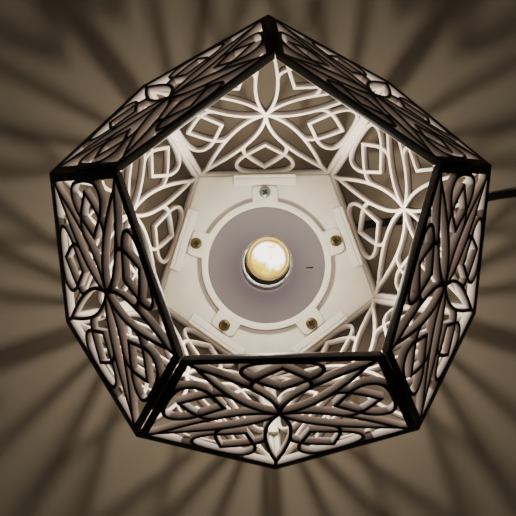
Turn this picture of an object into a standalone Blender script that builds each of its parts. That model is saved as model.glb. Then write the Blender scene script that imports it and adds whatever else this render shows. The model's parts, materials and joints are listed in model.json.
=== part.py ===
"""A table lamp: a dodecahedral lantern of ten lattice panels on a solid base, open at the top.

Frame: metres, +Z up, origin on the floor under the middle of the lamp. A corner of the base
plate points to -Y. Five lattice panels lean outwards from the base plate, five more lean back
in above them, and small clips hold every joint from the inside. A round cup in the plate
carries the lampholder and the bulb, and the mains cord leaves its side under the plate.
"""

import bmesh
import bpy
import math
from mathutils import Matrix, Vector

# ---- overall sizes -------------------------------------------------------------------------
EDGE = 0.115  # one edge of the dodecahedron, measured outside
FOOT_HEIGHT = 0.012  # how far the cup holds the base plate off the floor
PANEL_THICKNESS = 0.005
JOINT_GAP = 0.0005  # each panel stands this far back from the true edge line
FIT = 0.0003  # gap left between pieces that touch

# ---- geometry of a regular dodecahedron, per unit of edge ----------------------------------
SIDES = 5
STEP = 2 * math.pi / SIDES
APOTHEM = 0.5 / math.tan(math.pi / SIDES)  # of one pentagon
VERTEX_RADIUS = 0.5 / math.sin(math.pi / SIDES)
HALF_DIHEDRAL = math.atan((1 + math.sqrt(5)) / 2)
INRADIUS = APOTHEM * math.tan(HALF_DIHEDRAL)
FACE_TILT = math.pi - 2 * HALF_DIHEDRAL  # a lower panel's lean, measured from the floor
WIDE_RADIUS = VERTEX_RADIUS * (1 + math.sqrt(5)) / 2
BELT_HEIGHT = math.sqrt(1 - (WIDE_RADIUS - VERTEX_RADIUS) ** 2)  # of the lower belt's corners

# ---- lattice pattern, per unit of edge, in one fifth of a panel -----------------------------
STRUT = 0.0025  # width of every strut of the lattice
BORDER = 0.0059  # width of a panel's frame
PETAL = ((0, 0), (-0.080, 0.12), (-0.115, 0.30), (0, 0.72))  # its left side: across, along
LOOP_PEAK = (0, 0.315)  # the rounded loop: sideways, and out from the panel's middle
LOOP_CROSSING = (0.125, 0.415)
LOOP_SHOULDER = (0.192, 0.463)
LOOP_WIDEST = (0.207, 0.530)
LOOP_CORNER = (0.209, -0.007)  # sideways, and from the foot's line
LOOP_RUN = (0.110, -0.001)
LOOP_FOOT = (0, 0)
LOOP_SINK = 0.0004  # the foot's line runs this far inside the frame's inner edge
SHIELD = ((0.135, 0.310), (0.200, 0.390), (0.100, 0.470), (0, 0.565))
PETAL_STEPS = 4
SHOULDER_STEPS = 2
CORNER_STEPS = 3
SHIELD_STEPS = 3

# ---- joint clips ----------------------------------------------------------------------------
CLIP_LENGTH = 0.050
CLIP_LEG = 0.0047  # how far a clip reaches along each panel
CLIP_LIP = 0.0012  # thickness of a clip at its outer edges
WEDGE_LENGTH = 0.0528
WEDGE_DEPTH = 0.0080  # along the base plate
WEDGE_RISE = 0.0032  # up the panel

# ---- cup, cover and screws ------------------------------------------------------------------
SCREW_HEAD_RADIUS = 0.0048
SCREW_HEAD_HEIGHT = 0.0022
SCREW_SHANK_RADIUS = 0.0018
SCREW_LENGTH = 0.0060  # under the head
LUG_MARGIN = 0.0053  # from the screw's axis to the lug's tip
LUG_HALF_WIDTH = 0.0107
LUG_THICKNESS = 0.0021
LUG_CORNER = 0.0045
LUG_CORNER_STEPS = 3
CUP_CLEARANCE = 0.0006  # round the cup, in the plate's hole
LUG_TO_WEDGE = 0.0007
SCREW_SETBACK = 0.0072  # from the cup's wall out to the screw circle
RIM_STEP = 0.0002  # the cup's rim stands this far above its lugs
RIM_WIDTH = 0.0054
CUP_WALL = 0.0040
CUP_SHELL = 0.0022
DISH_DROP = 0.0012  # step down from the rim to the cone
PLATE_STEP_WIDTH = 0.0036  # the ring groove round the cup
PLATE_STEP_DEPTH = 0.0015
COVER_THICKNESS = 0.0016
WIRE_HOLE_RADIUS = 0.0050

# ---- lampholder and bulb --------------------------------------------------------------------
DISH_FLOOR = 0.0080  # height of the dish's floor above the table
HOLDER_RADIUS = 0.0208
HOLDER_WALL = 0.0020
HOLDER_HEIGHT = 0.0292
HOLDER_FLOOR = 0.0027
HOLDER_RIM_HEIGHT = 0.0012
INSERT_HEIGHT = 0.0050
SLEEVE_WALL = 0.0006
SLEEVE_HEIGHT = 0.0180
CONE_GAP = 0.0015  # flat ring of the dish's floor round the holder
SLEEVE_MOUTH_RADIUS = 0.0080  # hole in the sleeve's floor, round the centre contact
CONTACT_LENGTH = 0.0100
CONTACT_WIDTH = 0.0040
CONTACT_THICKNESS = 0.0005
CAP_RADIUS = 0.0130  # crest of the bulb's screw thread
CAP_CLEARANCE = 0.0005
CAP_TURNS = 5
CAP_PITCH = 0.0036
CAP_TIP_RADIUS = 0.0048
THREAD_DEPTH = 0.0008
CAP_SKIRT = 0.0035  # plain band above the thread
CAP_NOSE = 0.0032  # from inside the sleeve's floor up to the thread
BULB_RADIUS = 0.0174
BULB_BODY_HEIGHT = 0.0200
BULB_RING_HEIGHT = 0.0063
BULB_RING_WIDTH = 0.0026
LENS_EDGE = 0.0010
LENS_CROWN = 0.0022

# ---- mains cord -----------------------------------------------------------------------------
CORD_RADIUS = 0.0035
CORD_EXIT_AZIMUTH = math.radians(22)
CORD_EXIT_HEIGHT = 0.0064
RELIEF_NECK_RADIUS = 0.0041
RELIEF_FLANGE_RADIUS = 0.0051
RELIEF_FLANGE = 0.0025
RELIEF_TAPER = 0.0220
RELIEF_INSIDE = 0.0030
FLOOR_LIFT = 0.00005  # cord, switch and plug clear the floor by a hair
CORD_STEPS = 2  # points of the tube between two route points

LEAD_ROUTE = (
    (0.0740, 0.0299, 0.00640),
    (0.0812, 0.0325, 0.00620),
    (0.0890, 0.0346, 0.00530),
    (0.0975, 0.0358, 0.00430),
    (0.1080, 0.0368, 0.00365),
    (0.1190, 0.0382, 0.00355),
    (0.1350, 0.0420, 0.00355),
    (0.1520, 0.0466, 0.00355),
    (0.1700, 0.0513, 0.00355),
    (0.1870, 0.0553, 0.00355),
    (0.2020, 0.0579, 0.00370),
    (0.2140, 0.0593, 0.00470),
    (0.2250, 0.0605, 0.00650),
    (0.2357, 0.0616, 0.00755),
)
TAIL_ROUTE = (
    (0.2960, 0.0680, 0.00755),
    (0.3040, 0.0684, 0.00700),
    (0.3125, 0.0664, 0.00540),
    (0.3200, 0.0615, 0.00400),
    (0.3255, 0.0540, 0.00360),
    (0.3285, 0.0450, 0.00355),
    (0.3293, 0.0350, 0.00355),
    (0.3287, 0.0240, 0.00355),
    (0.3270, 0.0130, 0.00355),
)
SWITCH_CENTRE = (0.26585, 0.0648)
SWITCH_HEADING = math.radians(6)
SWITCH_LENGTH = 0.0600
SWITCH_WIDTH = 0.0260
SWITCH_HEIGHT = 0.0150
SWITCH_ROUNDING = 0.0030
ROCKER_LENGTH = 0.0152
ROCKER_WIDTH = 0.0094
ROCKER_ABOVE = 0.0024  # from the pivot up to the middle of its top
ROCKER_BELOW = 0.0025
ROCKER_FOOT = 0.0055  # half length of its underside
ROCKER_TILT = math.radians(6)  # it rests tipped to the lit side
ROCKER_PIVOT_DEPTH = 0.0014  # pivot below the case's top
ROCKER_PLAY = 0.0006
COIL_CENTRE = (0.276, -0.008)
COIL_COLUMNS = 3
COIL_ROWS = 2
COIL_PITCH = 0.00725
COIL_MEAN_RADIUS = 0.0385
PLUG_START = (0.32175, -0.0365)  # where the cord enters the plug's boot
PLUG_AXIS_HEIGHT = 0.0071
BOOT_RADIUS = 0.0042
BOOT_LENGTH = 0.0220
PLUG_LENGTH = 0.0340
PLUG_WIDTH = 0.0270
PLUG_NOSE_WIDTH = 0.0210
PLUG_THICKNESS = 0.0136
PIN_RADIUS = 0.0020
PIN_LENGTH = 0.0190
PIN_SPACING = 0.0186
OVERLAP = 0.0010  # how deep joined solids of one piece run into each other

ROUND = 32  # sides of the large turned pieces
SMALL_ROUND = 20
HOLE_SIDES = 12

# ---- heights that follow --------------------------------------------------------------------
PLATE_TOP = FOOT_HEIGHT + PANEL_THICKNESS
CENTRE_HEIGHT = FOOT_HEIGHT + INRADIUS * EDGE
PLATE_EDGE = APOTHEM * EDGE - JOINT_GAP
MITRE = PANEL_THICKNESS / math.tan(HALF_DIHEDRAL)
INNER_EDGE = APOTHEM * EDGE - MITRE  # where a panel's inner face meets the plate's
LUG_TIP = INNER_EDGE - FIT / math.sin(HALF_DIHEDRAL) - WEDGE_DEPTH - LUG_TO_WEDGE
SCREW_CIRCLE = LUG_TIP - LUG_MARGIN
CUP_RADIUS = SCREW_CIRCLE - SCREW_SETBACK
LUG_TOP = PLATE_TOP + FIT + LUG_THICKNESS
RIM_TOP = LUG_TOP + RIM_STEP
HOLDER_BASE = DISH_FLOOR + FIT
HOLDER_TOP = HOLDER_BASE + HOLDER_HEIGHT
HOLDER_BORE = HOLDER_RADIUS - HOLDER_WALL
INSERT_BASE = HOLDER_BASE + HOLDER_FLOOR + FIT
INSERT_TOP = INSERT_BASE + INSERT_HEIGHT
SLEEVE_BASE = INSERT_TOP + FIT
SLEEVE_RADIUS = CAP_RADIUS + CAP_CLEARANCE
CAP_BASE = SLEEVE_BASE + CONTACT_THICKNESS + FIT
THREAD_BASE = CAP_BASE + SLEEVE_WALL + CAP_NOSE
THREAD_TOP = THREAD_BASE + CAP_TURNS * CAP_PITCH
CAP_TOP = THREAD_TOP + CAP_SKIRT
BODY_BASE = CAP_TOP + FIT
BODY_TOP = BODY_BASE + BULB_BODY_HEIGHT
RING_BASE = BODY_TOP + FIT
LENS_RADIUS = BULB_RADIUS - BULB_RING_WIDTH - FIT

parts = bpy.data.collections.new("dodecahedral_lantern_lamp")
cutters = bpy.data.collections.new("cutters")


# ---- tools ----------------------------------------------------------------------------------
def clear_scene():
    for item in list(bpy.data.objects):
        bpy.data.objects.remove(item, do_unlink=True)
    for group in (parts, cutters):
        bpy.context.scene.collection.children.link(group)


def finish(name, colour, roughness=0.5, metallic=0.0):
    """A plain Principled material."""
    material = bpy.data.materials.new(name)
    material.use_nodes = True
    shader = material.node_tree.nodes["Principled BSDF"]
    shader.inputs["Base Color"].default_value = (*colour, 1)
    shader.inputs["Roughness"].default_value = roughness
    shader.inputs["Metallic"].default_value = metallic
    return material


def add_object(name, mesh, material, group=None):
    item = bpy.data.objects.new(name, mesh)
    (group or parts).objects.link(item)
    if material is not None and not mesh.materials:
        mesh.materials.append(material)
    return item


def as_cutter(item):
    item.hide_render = True
    item.display_type = "WIRE"
    return item


def place(item, origin, across, up):
    """Put an object at origin with its local X and Y along two directions at right angles."""
    across = Vector(across).normalized()
    up = Vector(up).normalized()
    turn = Matrix((across, up, across.cross(up))).transposed()
    item.matrix_world = Matrix.LocRotScale(Vector(origin), turn, None)


def turned(name, profile, material, sides=ROUND, closed=False, group=None):
    """Spin a profile of (radius, height) points, outer side from top to bottom, about Z."""
    mesh = bpy.data.meshes.new(name)
    edges = [(i, i + 1) for i in range(len(profile) - 1)]
    if closed:
        edges.append((len(profile) - 1, 0))
    mesh.from_pydata([(r, 0, z) for r, z in profile], edges, [])
    item = add_object(name, mesh, material, group)
    spin = item.modifiers.new("spin", "SCREW")
    spin.axis = "Z"
    spin.steps = sides
    spin.render_steps = sides
    spin.use_merge_vertices = True
    spin.merge_threshold = 0.00001
    return item


def outline_mesh(name, outlines, thickness):
    """A flat solid from closed 2D outlines, the first one outside and the others its holes."""
    curve = bpy.data.curves.new(name, "CURVE")
    curve.dimensions = "2D"
    curve.fill_mode = "BOTH"
    curve.extrude = thickness / 2
    for outline in outlines:
        spline = curve.splines.new("POLY")
        spline.points.add(len(outline) - 1)
        spline.use_cyclic_u = True
        for point, (x, y) in zip(spline.points, outline):
            point.co = (x, y, 0, 1)
    return solid_mesh(add_object(name, curve, None))


def solid_mesh(item):
    """Turn a curve object into a welded mesh and remove the curve."""
    bpy.context.view_layer.update()
    graph = bpy.context.evaluated_depsgraph_get()
    mesh = bpy.data.meshes.new_from_object(item.evaluated_get(graph))
    mesh.transform(item.matrix_world)
    mesh.name = item.name
    bpy.data.objects.remove(item, do_unlink=True)
    shape = bmesh.new()
    shape.from_mesh(mesh)
    bmesh.ops.remove_doubles(shape, verts=shape.verts, dist=0.000001)
    bmesh.ops.recalc_face_normals(shape, faces=shape.faces)
    shape.to_mesh(mesh)
    shape.free()
    return mesh


def cylinder(name, radius, low, high, material=None, sides=HOLE_SIDES, group=None):
    profile = [(0, high), (radius, high), (radius, low), (0, low)]
    return turned(name, profile, material, sides, group=group)


def boolean(item, operation, tool):
    change = item.modifiers.new(operation.lower(), "BOOLEAN")
    change.operation = operation
    change.solver = "EXACT"
    change.object = tool
    return change


def cut(item, tool):
    return boolean(item, "DIFFERENCE", as_cutter(tool))


def join(item, tool):
    boolean(item, "UNION", as_cutter(tool))


def pentagon(apothem):
    radius = apothem / math.cos(math.pi / SIDES)
    angles = [math.radians(-126) + STEP * k for k in range(SIDES)]
    return [(radius * math.cos(a), radius * math.sin(a)) for a in angles]


def disc(radius, sides):
    angles = [2 * math.pi * k / sides for k in range(sides)]
    return [(radius * math.cos(a), radius * math.sin(a)) for a in angles]


# ---- plane curves ---------------------------------------------------------------------------
def bezier(controls, steps):
    """Points on a Bezier curve of any degree, both ends included."""
    line = []
    for k in range(steps + 1):
        t = k / steps
        row = [Vector(p) for p in controls]
        while len(row) > 1:
            row = [a.lerp(b, t) for a, b in zip(row, row[1:])]
        line.append(row[0])
    return line


def offset(line, distance):
    """The line moved sideways to its left, with its corners kept sharp."""
    moved = []
    for k, point in enumerate(line):
        before = (point - line[k - 1]).normalized() if k else None
        after = (line[k + 1] - point).normalized() if k + 1 < len(line) else None
        before = before or after
        after = after or before
        left_before = Vector((-before.y, before.x))
        left_after = Vector((-after.y, after.x))
        middle = left_before + left_after
        moved.append(point + middle * (2 * distance / middle.length_squared))
    return moved


def crossing(first, second, start):
    """Where first, from the place start on it, next meets second: places on both, and point."""
    for i in range(int(start), len(first) - 1):
        a, b = first[i], first[i + 1]
        hits = []
        for j in range(len(second) - 1):
            c, d = second[j], second[j + 1]
            scale = (b - a).cross(d - c)
            if abs(scale) < 1e-12:
                continue
            s = (c - a).cross(d - c) / scale
            t = (c - a).cross(b - a) / scale
            if 0 <= s <= 1 and 0 <= t <= 1 and i + s > start + 1e-6:
                hits.append((i + s, j + t, a.lerp(b, s)))
        if hits:
            return min(hits, key=lambda hit: hit[0])
    raise ValueError("two struts that should cross don't meet")


def chain(lines):
    """One path along each line in turn, changing where a line meets the next.

    It is a closed path where the last line is the first one again.
    """
    path = []
    place_on = 0.0
    for line, following in zip(lines, lines[1:]):
        leave, arrive, point = crossing(line, following, place_on)
        if path:
            path += line[math.floor(place_on) + 1 : math.ceil(leave)]
        else:
            first_leave = leave
        path.append(point)
        place_on = arrive
    if lines[0] is lines[-1]:
        path += lines[0][math.floor(place_on) + 1 : math.ceil(first_leave)]
    return path


def mirrored(half):
    """A closed outline from its right half, which starts and ends on the middle line."""
    left = [Vector((-p.x, p.y)) for p in reversed(half[1:-1])]
    return half + left


# ---- lattice panel --------------------------------------------------------------------------
def scaled(points):
    return [Vector(p) * EDGE for p in points]


def with_reflections(line):
    """The line with one more point at each end, mirrored, so that its ends make true corners."""
    start = Vector((-line[1].x, line[1].y))
    end = Vector((-line[-2].x, line[-2].y))
    return [start] + line + [end]


def turn_point(point, angle):
    c, s = math.cos(angle), math.sin(angle)
    return Vector((c * point.x - s * point.y, s * point.x + c * point.y))


def sector_holes():
    """The openings of one fifth of a panel, as (sideways, outwards) outlines."""
    half = STRUT / 2
    reach = VERTEX_RADIUS * EDGE
    middle = [Vector((0, 0)), Vector((0, reach))]
    back = middle[::-1]

    petal_side = bezier(scaled(PETAL), PETAL_STEPS) + [Vector((0, reach))]
    petal = mirrored(chain([middle, offset(petal_side, -half), back]))
    petal = [turn_point(p, -math.pi / SIDES) for p in petal]
    stroke = offset([turn_point(p, -math.pi / SIDES) for p in petal_side], half)

    shoulder = bezier(scaled((LOOP_CROSSING, LOOP_SHOULDER, LOOP_WIDEST)), SHOULDER_STEPS)
    frame = PLATE_EDGE - BORDER
    foot_line = Vector((0, frame - LOOP_SINK))
    foot = [p + foot_line for p in scaled((LOOP_CORNER, LOOP_RUN, LOOP_FOOT))]
    corner = bezier(scaled((LOOP_WIDEST,)) + foot, CORNER_STEPS)
    loop = with_reflections(scaled((LOOP_PEAK,)) + shoulder + corner[1:])
    loop_inside = offset(loop, half)
    loop_outside = offset(loop, -half)[::-1]

    shield = bezier(scaled(SHIELD), SHIELD_STEPS)
    root = shield[0] + (shield[0] - shield[1]).normalized() * 2 * STRUT
    shield = [root] + with_reflections(shield)[1:]
    shield_inside = offset(shield, half)
    shield_outside = offset(shield, -half)[::-1]

    sill = [Vector((reach, frame)), Vector((-reach, frame))]
    kite = chain([middle, stroke, shield_inside, loop_outside, back])
    diamond = chain([middle, loop_inside, shield_inside, back])
    lobe = chain([middle, shield_outside, loop_inside, back])
    right = chain([stroke, sill, loop_outside, shield_outside, stroke])
    left = [Vector((-p.x, p.y)) for p in reversed(right)]
    return [petal, mirrored(kite), mirrored(diamond), mirrored(lobe), right, left]


def panel_mesh():
    """A lattice panel: its outer face is at height 0 and it is thick downwards."""
    outlines = [pentagon(PLATE_EDGE)]
    for k in range(SIDES):
        for hole in sector_holes():
            outlines.append([turn_point(p, math.pi + STEP * k) for p in hole])
    mesh = outline_mesh("lattice_panel", outlines, PANEL_THICKNESS)
    return mitred(mesh)


def mitred(mesh):
    """Lean the five outer sides in towards the inner face, for joints at the dihedral angle."""
    mesh.transform(Matrix.Translation((0, 0, -PANEL_THICKNESS / 2)))
    corner = PLATE_EDGE / math.cos(math.pi / SIDES)
    for vertex in mesh.vertices:
        outer = math.hypot(vertex.co.x, vertex.co.y) > corner * 0.999
        if outer and vertex.co.z < -PANEL_THICKNESS / 2:
            vertex.co.x *= 1 - MITRE / PLATE_EDGE
            vertex.co.y *= 1 - MITRE / PLATE_EDGE
    return mesh


def place_panel(item, azimuth, rise):
    """Put a panel on the lower (rise 1) or upper (rise -1) face that looks towards azimuth."""
    flat = Vector((math.cos(azimuth), math.sin(azimuth), 0))
    upright = Vector((0, 0, 1))
    normal = flat * math.sin(FACE_TILT) - upright * rise * math.cos(FACE_TILT)
    slope = flat * math.cos(FACE_TILT) + upright * rise * math.sin(FACE_TILT)
    centre = upright * CENTRE_HEIGHT + normal * INRADIUS * EDGE
    place(item, centre, slope.cross(normal), slope)


def corner_point(radius, azimuth, height):
    point = Vector((radius * math.cos(azimuth), radius * math.sin(azimuth), height)) * EDGE
    return point + Vector((0, 0, FOOT_HEIGHT))


# ---- joint clips ----------------------------------------------------------------------------
def clip_mesh(name, length, right_leg, left_leg):
    """A bar that fills the inner corner of a joint: across X, inwards Y, along Z."""
    s, c = math.sin(HALF_DIHEDRAL), math.cos(HALF_DIHEDRAL)
    lift = Vector((0, FIT / s))
    right = lift + Vector((s, c)) * right_leg
    left = lift + Vector((-s, c)) * left_leg
    section = [lift, right, right + Vector((-c, s)) * CLIP_LIP]
    section += [left + Vector((c, s)) * CLIP_LIP, left]
    return outline_mesh(name, [section], length)


def place_clip(item, start, end):
    """Put a clip in the inner corner of the edge that runs from start to end."""
    middle = (start + end) / 2
    inwards = (Vector((0, 0, CENTRE_HEIGHT)) - middle).normalized()
    origin = middle + inwards * PANEL_THICKNESS / math.sin(HALF_DIHEDRAL)
    place(item, origin, inwards.cross(end - start), inwards)


# ---- the lantern ----------------------------------------------------------------------------
def build_lantern(plastic):
    mesh = panel_mesh()
    clip = clip_mesh("joint_clip", CLIP_LENGTH, CLIP_LEG, CLIP_LEG)
    wedge = clip_mesh("base_wedge", WEDGE_LENGTH, WEDGE_DEPTH, WEDGE_RISE)
    high = 2 * INRADIUS - BELT_HEIGHT
    for k in range(SIDES):
        side = math.radians(90) + STEP * k  # the middle of a base edge
        before = side - STEP / 2
        after = side + STEP / 2
        place_panel(add_object(f"lower_panel_{k + 1}", mesh, plastic), side, 1)
        place_panel(add_object(f"upper_panel_{k + 1}", mesh, plastic), after, -1)
        base_start = corner_point(VERTEX_RADIUS, before, 0)
        base_end = corner_point(VERTEX_RADIUS, after, 0)
        low_start = corner_point(WIDE_RADIUS, before, BELT_HEIGHT)
        low_end = corner_point(WIDE_RADIUS, after, BELT_HEIGHT)
        high_middle = corner_point(WIDE_RADIUS, side, high)
        top = corner_point(VERTEX_RADIUS, side, 2 * INRADIUS)
        place_clip(add_object(f"base_wedge_{k + 1}", wedge, plastic), base_start, base_end)
        place_clip(add_object(f"lower_clip_{k + 1}", clip, plastic), base_end, low_end)
        place_clip(add_object(f"belt_clip_{2 * k + 1}", clip, plastic), low_start, high_middle)
        place_clip(add_object(f"belt_clip_{2 * k + 2}", clip, plastic), high_middle, low_end)
        place_clip(add_object(f"upper_clip_{k + 1}", clip, plastic), high_middle, top)


def screw_places():
    for k in range(SIDES):
        angle = math.radians(90) + STEP * k
        yield SCREW_CIRCLE * math.cos(angle), SCREW_CIRCLE * math.sin(angle), angle


def build_base_plate(plastic):
    hole_radius = CUP_RADIUS + CUP_CLEARANCE
    mesh = outline_mesh("base_plate", [pentagon(PLATE_EDGE), disc(hole_radius, ROUND)],
                        PANEL_THICKNESS)
    plate = add_object("base_plate", mitred(mesh), plastic)
    place(plate, (0, 0, FOOT_HEIGHT), (1, 0, 0), (0, -1, 0))
    step_radius = hole_radius + PLATE_STEP_WIDTH
    step_low = PLATE_TOP - PLATE_STEP_DEPTH
    step = cylinder("plate_step", step_radius, step_low, PLATE_TOP + OVERLAP,
                    sides=2 * ROUND, group=cutters)
    cut(plate, step).use_self = True
    for x, y, _ in screw_places():
        drill = cylinder("plate_screw_hole", SCREW_SHANK_RADIUS + FIT, 0, RIM_TOP, group=cutters)
        drill.location = (x, y, 0)
        cut(plate, drill)


def lug_outline():
    """A lug seen from above, with the screw's radius along X."""
    inner = CUP_RADIUS - CUP_WALL / 2
    centre = LUG_TIP - LUG_CORNER
    outline = [(inner, -LUG_HALF_WIDTH)]
    for side, start in ((-1, -90), (1, 0)):
        middle = side * (LUG_HALF_WIDTH - LUG_CORNER)
        for step in range(LUG_CORNER_STEPS + 1):
            angle = math.radians(start + 90 * step / LUG_CORNER_STEPS)
            x = centre + LUG_CORNER * math.cos(angle)
            outline.append((x, middle + LUG_CORNER * math.sin(angle)))
    outline.append((inner, LUG_HALF_WIDTH))
    return outline


def build_cup(plastic):
    wall_inside = CUP_RADIUS - CUP_WALL
    dish_edge = CUP_RADIUS - RIM_WIDTH
    cone_foot = HOLDER_RADIUS + CONE_GAP
    cone_rise = RIM_TOP - DISH_DROP - DISH_FLOOR
    slope = cone_rise / (dish_edge - cone_foot)
    under = DISH_FLOOR - CUP_SHELL
    profile = [
        (CUP_RADIUS, RIM_TOP),
        (CUP_RADIUS, 0),
        (wall_inside, 0),
        (wall_inside, under + slope * (wall_inside - cone_foot)),
        (cone_foot, under),
        (WIRE_HOLE_RADIUS, under),
        (WIRE_HOLE_RADIUS, DISH_FLOOR),
        (cone_foot, DISH_FLOOR),
        (dish_edge, DISH_FLOOR + cone_rise),
        (dish_edge, RIM_TOP),
    ]
    cup = turned("base_cup", profile, plastic, closed=True)
    lug = outline_mesh("lug", [lug_outline()], LUG_THICKNESS)
    for _, _, angle in screw_places():
        tab = add_object("lug", lug, None, cutters)
        tab.location = (0, 0, LUG_TOP - LUG_THICKNESS / 2)
        tab.rotation_euler = (0, 0, angle)
        join(cup, tab)
    for x, y, _ in screw_places():
        drill = cylinder("lug_screw_hole", SCREW_SHANK_RADIUS + FIT, PLATE_TOP - OVERLAP,
                         RIM_TOP + OVERLAP, group=cutters)
        drill.location = (x, y, 0)
        cut(cup, drill)
    bore = cylinder("relief_hole", RELIEF_NECK_RADIUS + FIT, -CUP_WALL - OVERLAP, OVERLAP,
                    sides=SMALL_ROUND, group=cutters)
    place_outwards(bore)
    cut(cup, bore)
    cover_radius = wall_inside - FIT
    cylinder("bottom_cover", cover_radius, FIT, FIT + COVER_THICKNESS, plastic, ROUND)


def build_base_screws(zinc, brass):
    under_head = LUG_TOP + FIT
    crown = under_head + SCREW_HEAD_HEIGHT
    profile = [
        (0, crown),
        (SCREW_HEAD_RADIUS * 0.6, crown - SCREW_HEAD_HEIGHT * 0.08),
        (SCREW_HEAD_RADIUS * 0.9, crown - SCREW_HEAD_HEIGHT * 0.4),
        (SCREW_HEAD_RADIUS, under_head),
        (SCREW_SHANK_RADIUS, under_head),
        (SCREW_SHANK_RADIUS, under_head - SCREW_LENGTH),
        (0, under_head - SCREW_LENGTH),
    ]
    for k, (x, y, _) in enumerate(screw_places()):
        screw = turned(f"base_screw_{k + 1}", profile, brass if k else zinc, SMALL_ROUND)
        screw.location = (x, y, 0)


# ---- lampholder and bulb --------------------------------------------------------------------
def build_lampholder(black, silver, ceramic, brass):
    turned("holder_shell", [
        (HOLDER_RADIUS, HOLDER_TOP),
        (HOLDER_RADIUS, HOLDER_BASE),
        (WIRE_HOLE_RADIUS, HOLDER_BASE),
        (WIRE_HOLE_RADIUS, HOLDER_BASE + HOLDER_FLOOR),
        (HOLDER_BORE, HOLDER_BASE + HOLDER_FLOOR),
        (HOLDER_BORE, HOLDER_TOP),
    ], black, closed=True)
    rim_base = HOLDER_TOP + FIT
    rim_top = rim_base + HOLDER_RIM_HEIGHT
    turned("holder_rim", [
        (HOLDER_RADIUS, rim_top),
        (HOLDER_RADIUS, rim_base),
        (HOLDER_BORE, rim_base),
        (HOLDER_BORE, rim_top),
    ], silver, closed=True)
    cylinder("holder_insert", HOLDER_BORE - FIT, INSERT_BASE, INSERT_TOP, ceramic, ROUND)
    outside = SLEEVE_RADIUS + SLEEVE_WALL
    turned("thread_sleeve", [
        (outside, SLEEVE_BASE + SLEEVE_HEIGHT),
        (outside, SLEEVE_BASE),
        (SLEEVE_MOUTH_RADIUS, SLEEVE_BASE),
        (SLEEVE_MOUTH_RADIUS, SLEEVE_BASE + SLEEVE_WALL),
        (SLEEVE_RADIUS, SLEEVE_BASE + SLEEVE_WALL),
        (SLEEVE_RADIUS, SLEEVE_BASE + SLEEVE_HEIGHT),
    ], brass, closed=True)
    size = (CONTACT_LENGTH, CONTACT_WIDTH, CONTACT_THICKNESS)
    contact = block("centre_contact", size, brass)
    contact.location = (0, 0, SLEEVE_BASE + CONTACT_THICKNESS / 2)


def build_bulb(metal, aluminium, glass, body_finish):
    groove = CAP_RADIUS - THREAD_DEPTH
    profile = [(0, CAP_TOP), (groove, CAP_TOP), (groove, THREAD_TOP)]
    for turn in range(CAP_TURNS):
        crest = THREAD_TOP - CAP_PITCH * (turn + 0.5)
        profile.append((CAP_RADIUS, crest))
        profile.append((groove, crest - CAP_PITCH / 2))
    profile += [(CAP_TIP_RADIUS, CAP_BASE), (0, CAP_BASE)]
    turned("bulb_cap", profile, metal, SMALL_ROUND)

    neck = CAP_RADIUS + FIT
    bowl_lip = LENS_RADIUS
    turned("bulb_body", [
        (0, BODY_BASE + BULB_BODY_HEIGHT * 0.45),
        (bowl_lip * 0.5, BODY_BASE + BULB_BODY_HEIGHT * 0.52),
        (bowl_lip, BODY_TOP),
        (BULB_RADIUS - FIT, BODY_TOP),
        (BULB_RADIUS * 0.96, BODY_BASE + BULB_BODY_HEIGHT * 0.75),
        (BULB_RADIUS * 0.85, BODY_BASE + BULB_BODY_HEIGHT * 0.30),
        (neck, BODY_BASE),
        (0, BODY_BASE),
    ], body_finish)
    ring_top = RING_BASE + BULB_RING_HEIGHT
    bevel = BULB_RING_WIDTH * 0.3
    turned("bulb_ring", [
        (BULB_RADIUS, ring_top - bevel),
        (BULB_RADIUS, RING_BASE),
        (BULB_RADIUS - BULB_RING_WIDTH, RING_BASE),
        (BULB_RADIUS - BULB_RING_WIDTH, ring_top - bevel),
        (BULB_RADIUS - BULB_RING_WIDTH + bevel, ring_top),
        (BULB_RADIUS - bevel, ring_top),
    ], aluminium, closed=True)
    turned("bulb_lens", [
        (0, RING_BASE + LENS_EDGE + LENS_CROWN),
        (LENS_RADIUS * 0.5, RING_BASE + LENS_EDGE + LENS_CROWN * 0.78),
        (LENS_RADIUS * 0.85, RING_BASE + LENS_EDGE + LENS_CROWN * 0.3),
        (LENS_RADIUS, RING_BASE + LENS_EDGE),
        (LENS_RADIUS, RING_BASE),
        (0, RING_BASE),
    ], glass)


# ---- cord, switch and plug ------------------------------------------------------------------
def block(name, size, material, rounding=0.0, group=None):
    """A box centred on its origin, with its edges rounded."""
    shape = bmesh.new()
    bmesh.ops.create_cube(shape, size=1)
    bmesh.ops.scale(shape, vec=size, verts=shape.verts)
    mesh = bpy.data.meshes.new(name)
    shape.to_mesh(mesh)
    shape.free()
    item = add_object(name, mesh, material, group)
    if rounding:
        bevel = item.modifiers.new("rounding", "BEVEL")
        bevel.width = rounding
        bevel.segments = 2
    return item


def place_outwards(item):
    """Stand a turned piece on the cup's wall where the cord leaves, its Z pointing out."""
    c, s = math.cos(CORD_EXIT_AZIMUTH), math.sin(CORD_EXIT_AZIMUTH)
    origin = (CUP_RADIUS * c, CUP_RADIUS * s, CORD_EXIT_HEIGHT)
    place(item, origin, (-s, c, 0), (0, 0, 1))


def build_strain_relief(rubber):
    face = FIT + RELIEF_FLANGE
    tip = face + RELIEF_TAPER
    inside = -CUP_WALL - RELIEF_INSIDE
    relief = turned("strain_relief", [
        (0, tip),
        (CORD_RADIUS * 1.1, tip),
        (RELIEF_NECK_RADIUS * 1.1, face),
        (RELIEF_FLANGE_RADIUS, face),
        (RELIEF_FLANGE_RADIUS, FIT),
        (RELIEF_NECK_RADIUS, FIT),
        (RELIEF_NECK_RADIUS, inside),
        (0, inside),
    ], rubber, SMALL_ROUND)
    place_outwards(relief)


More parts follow.
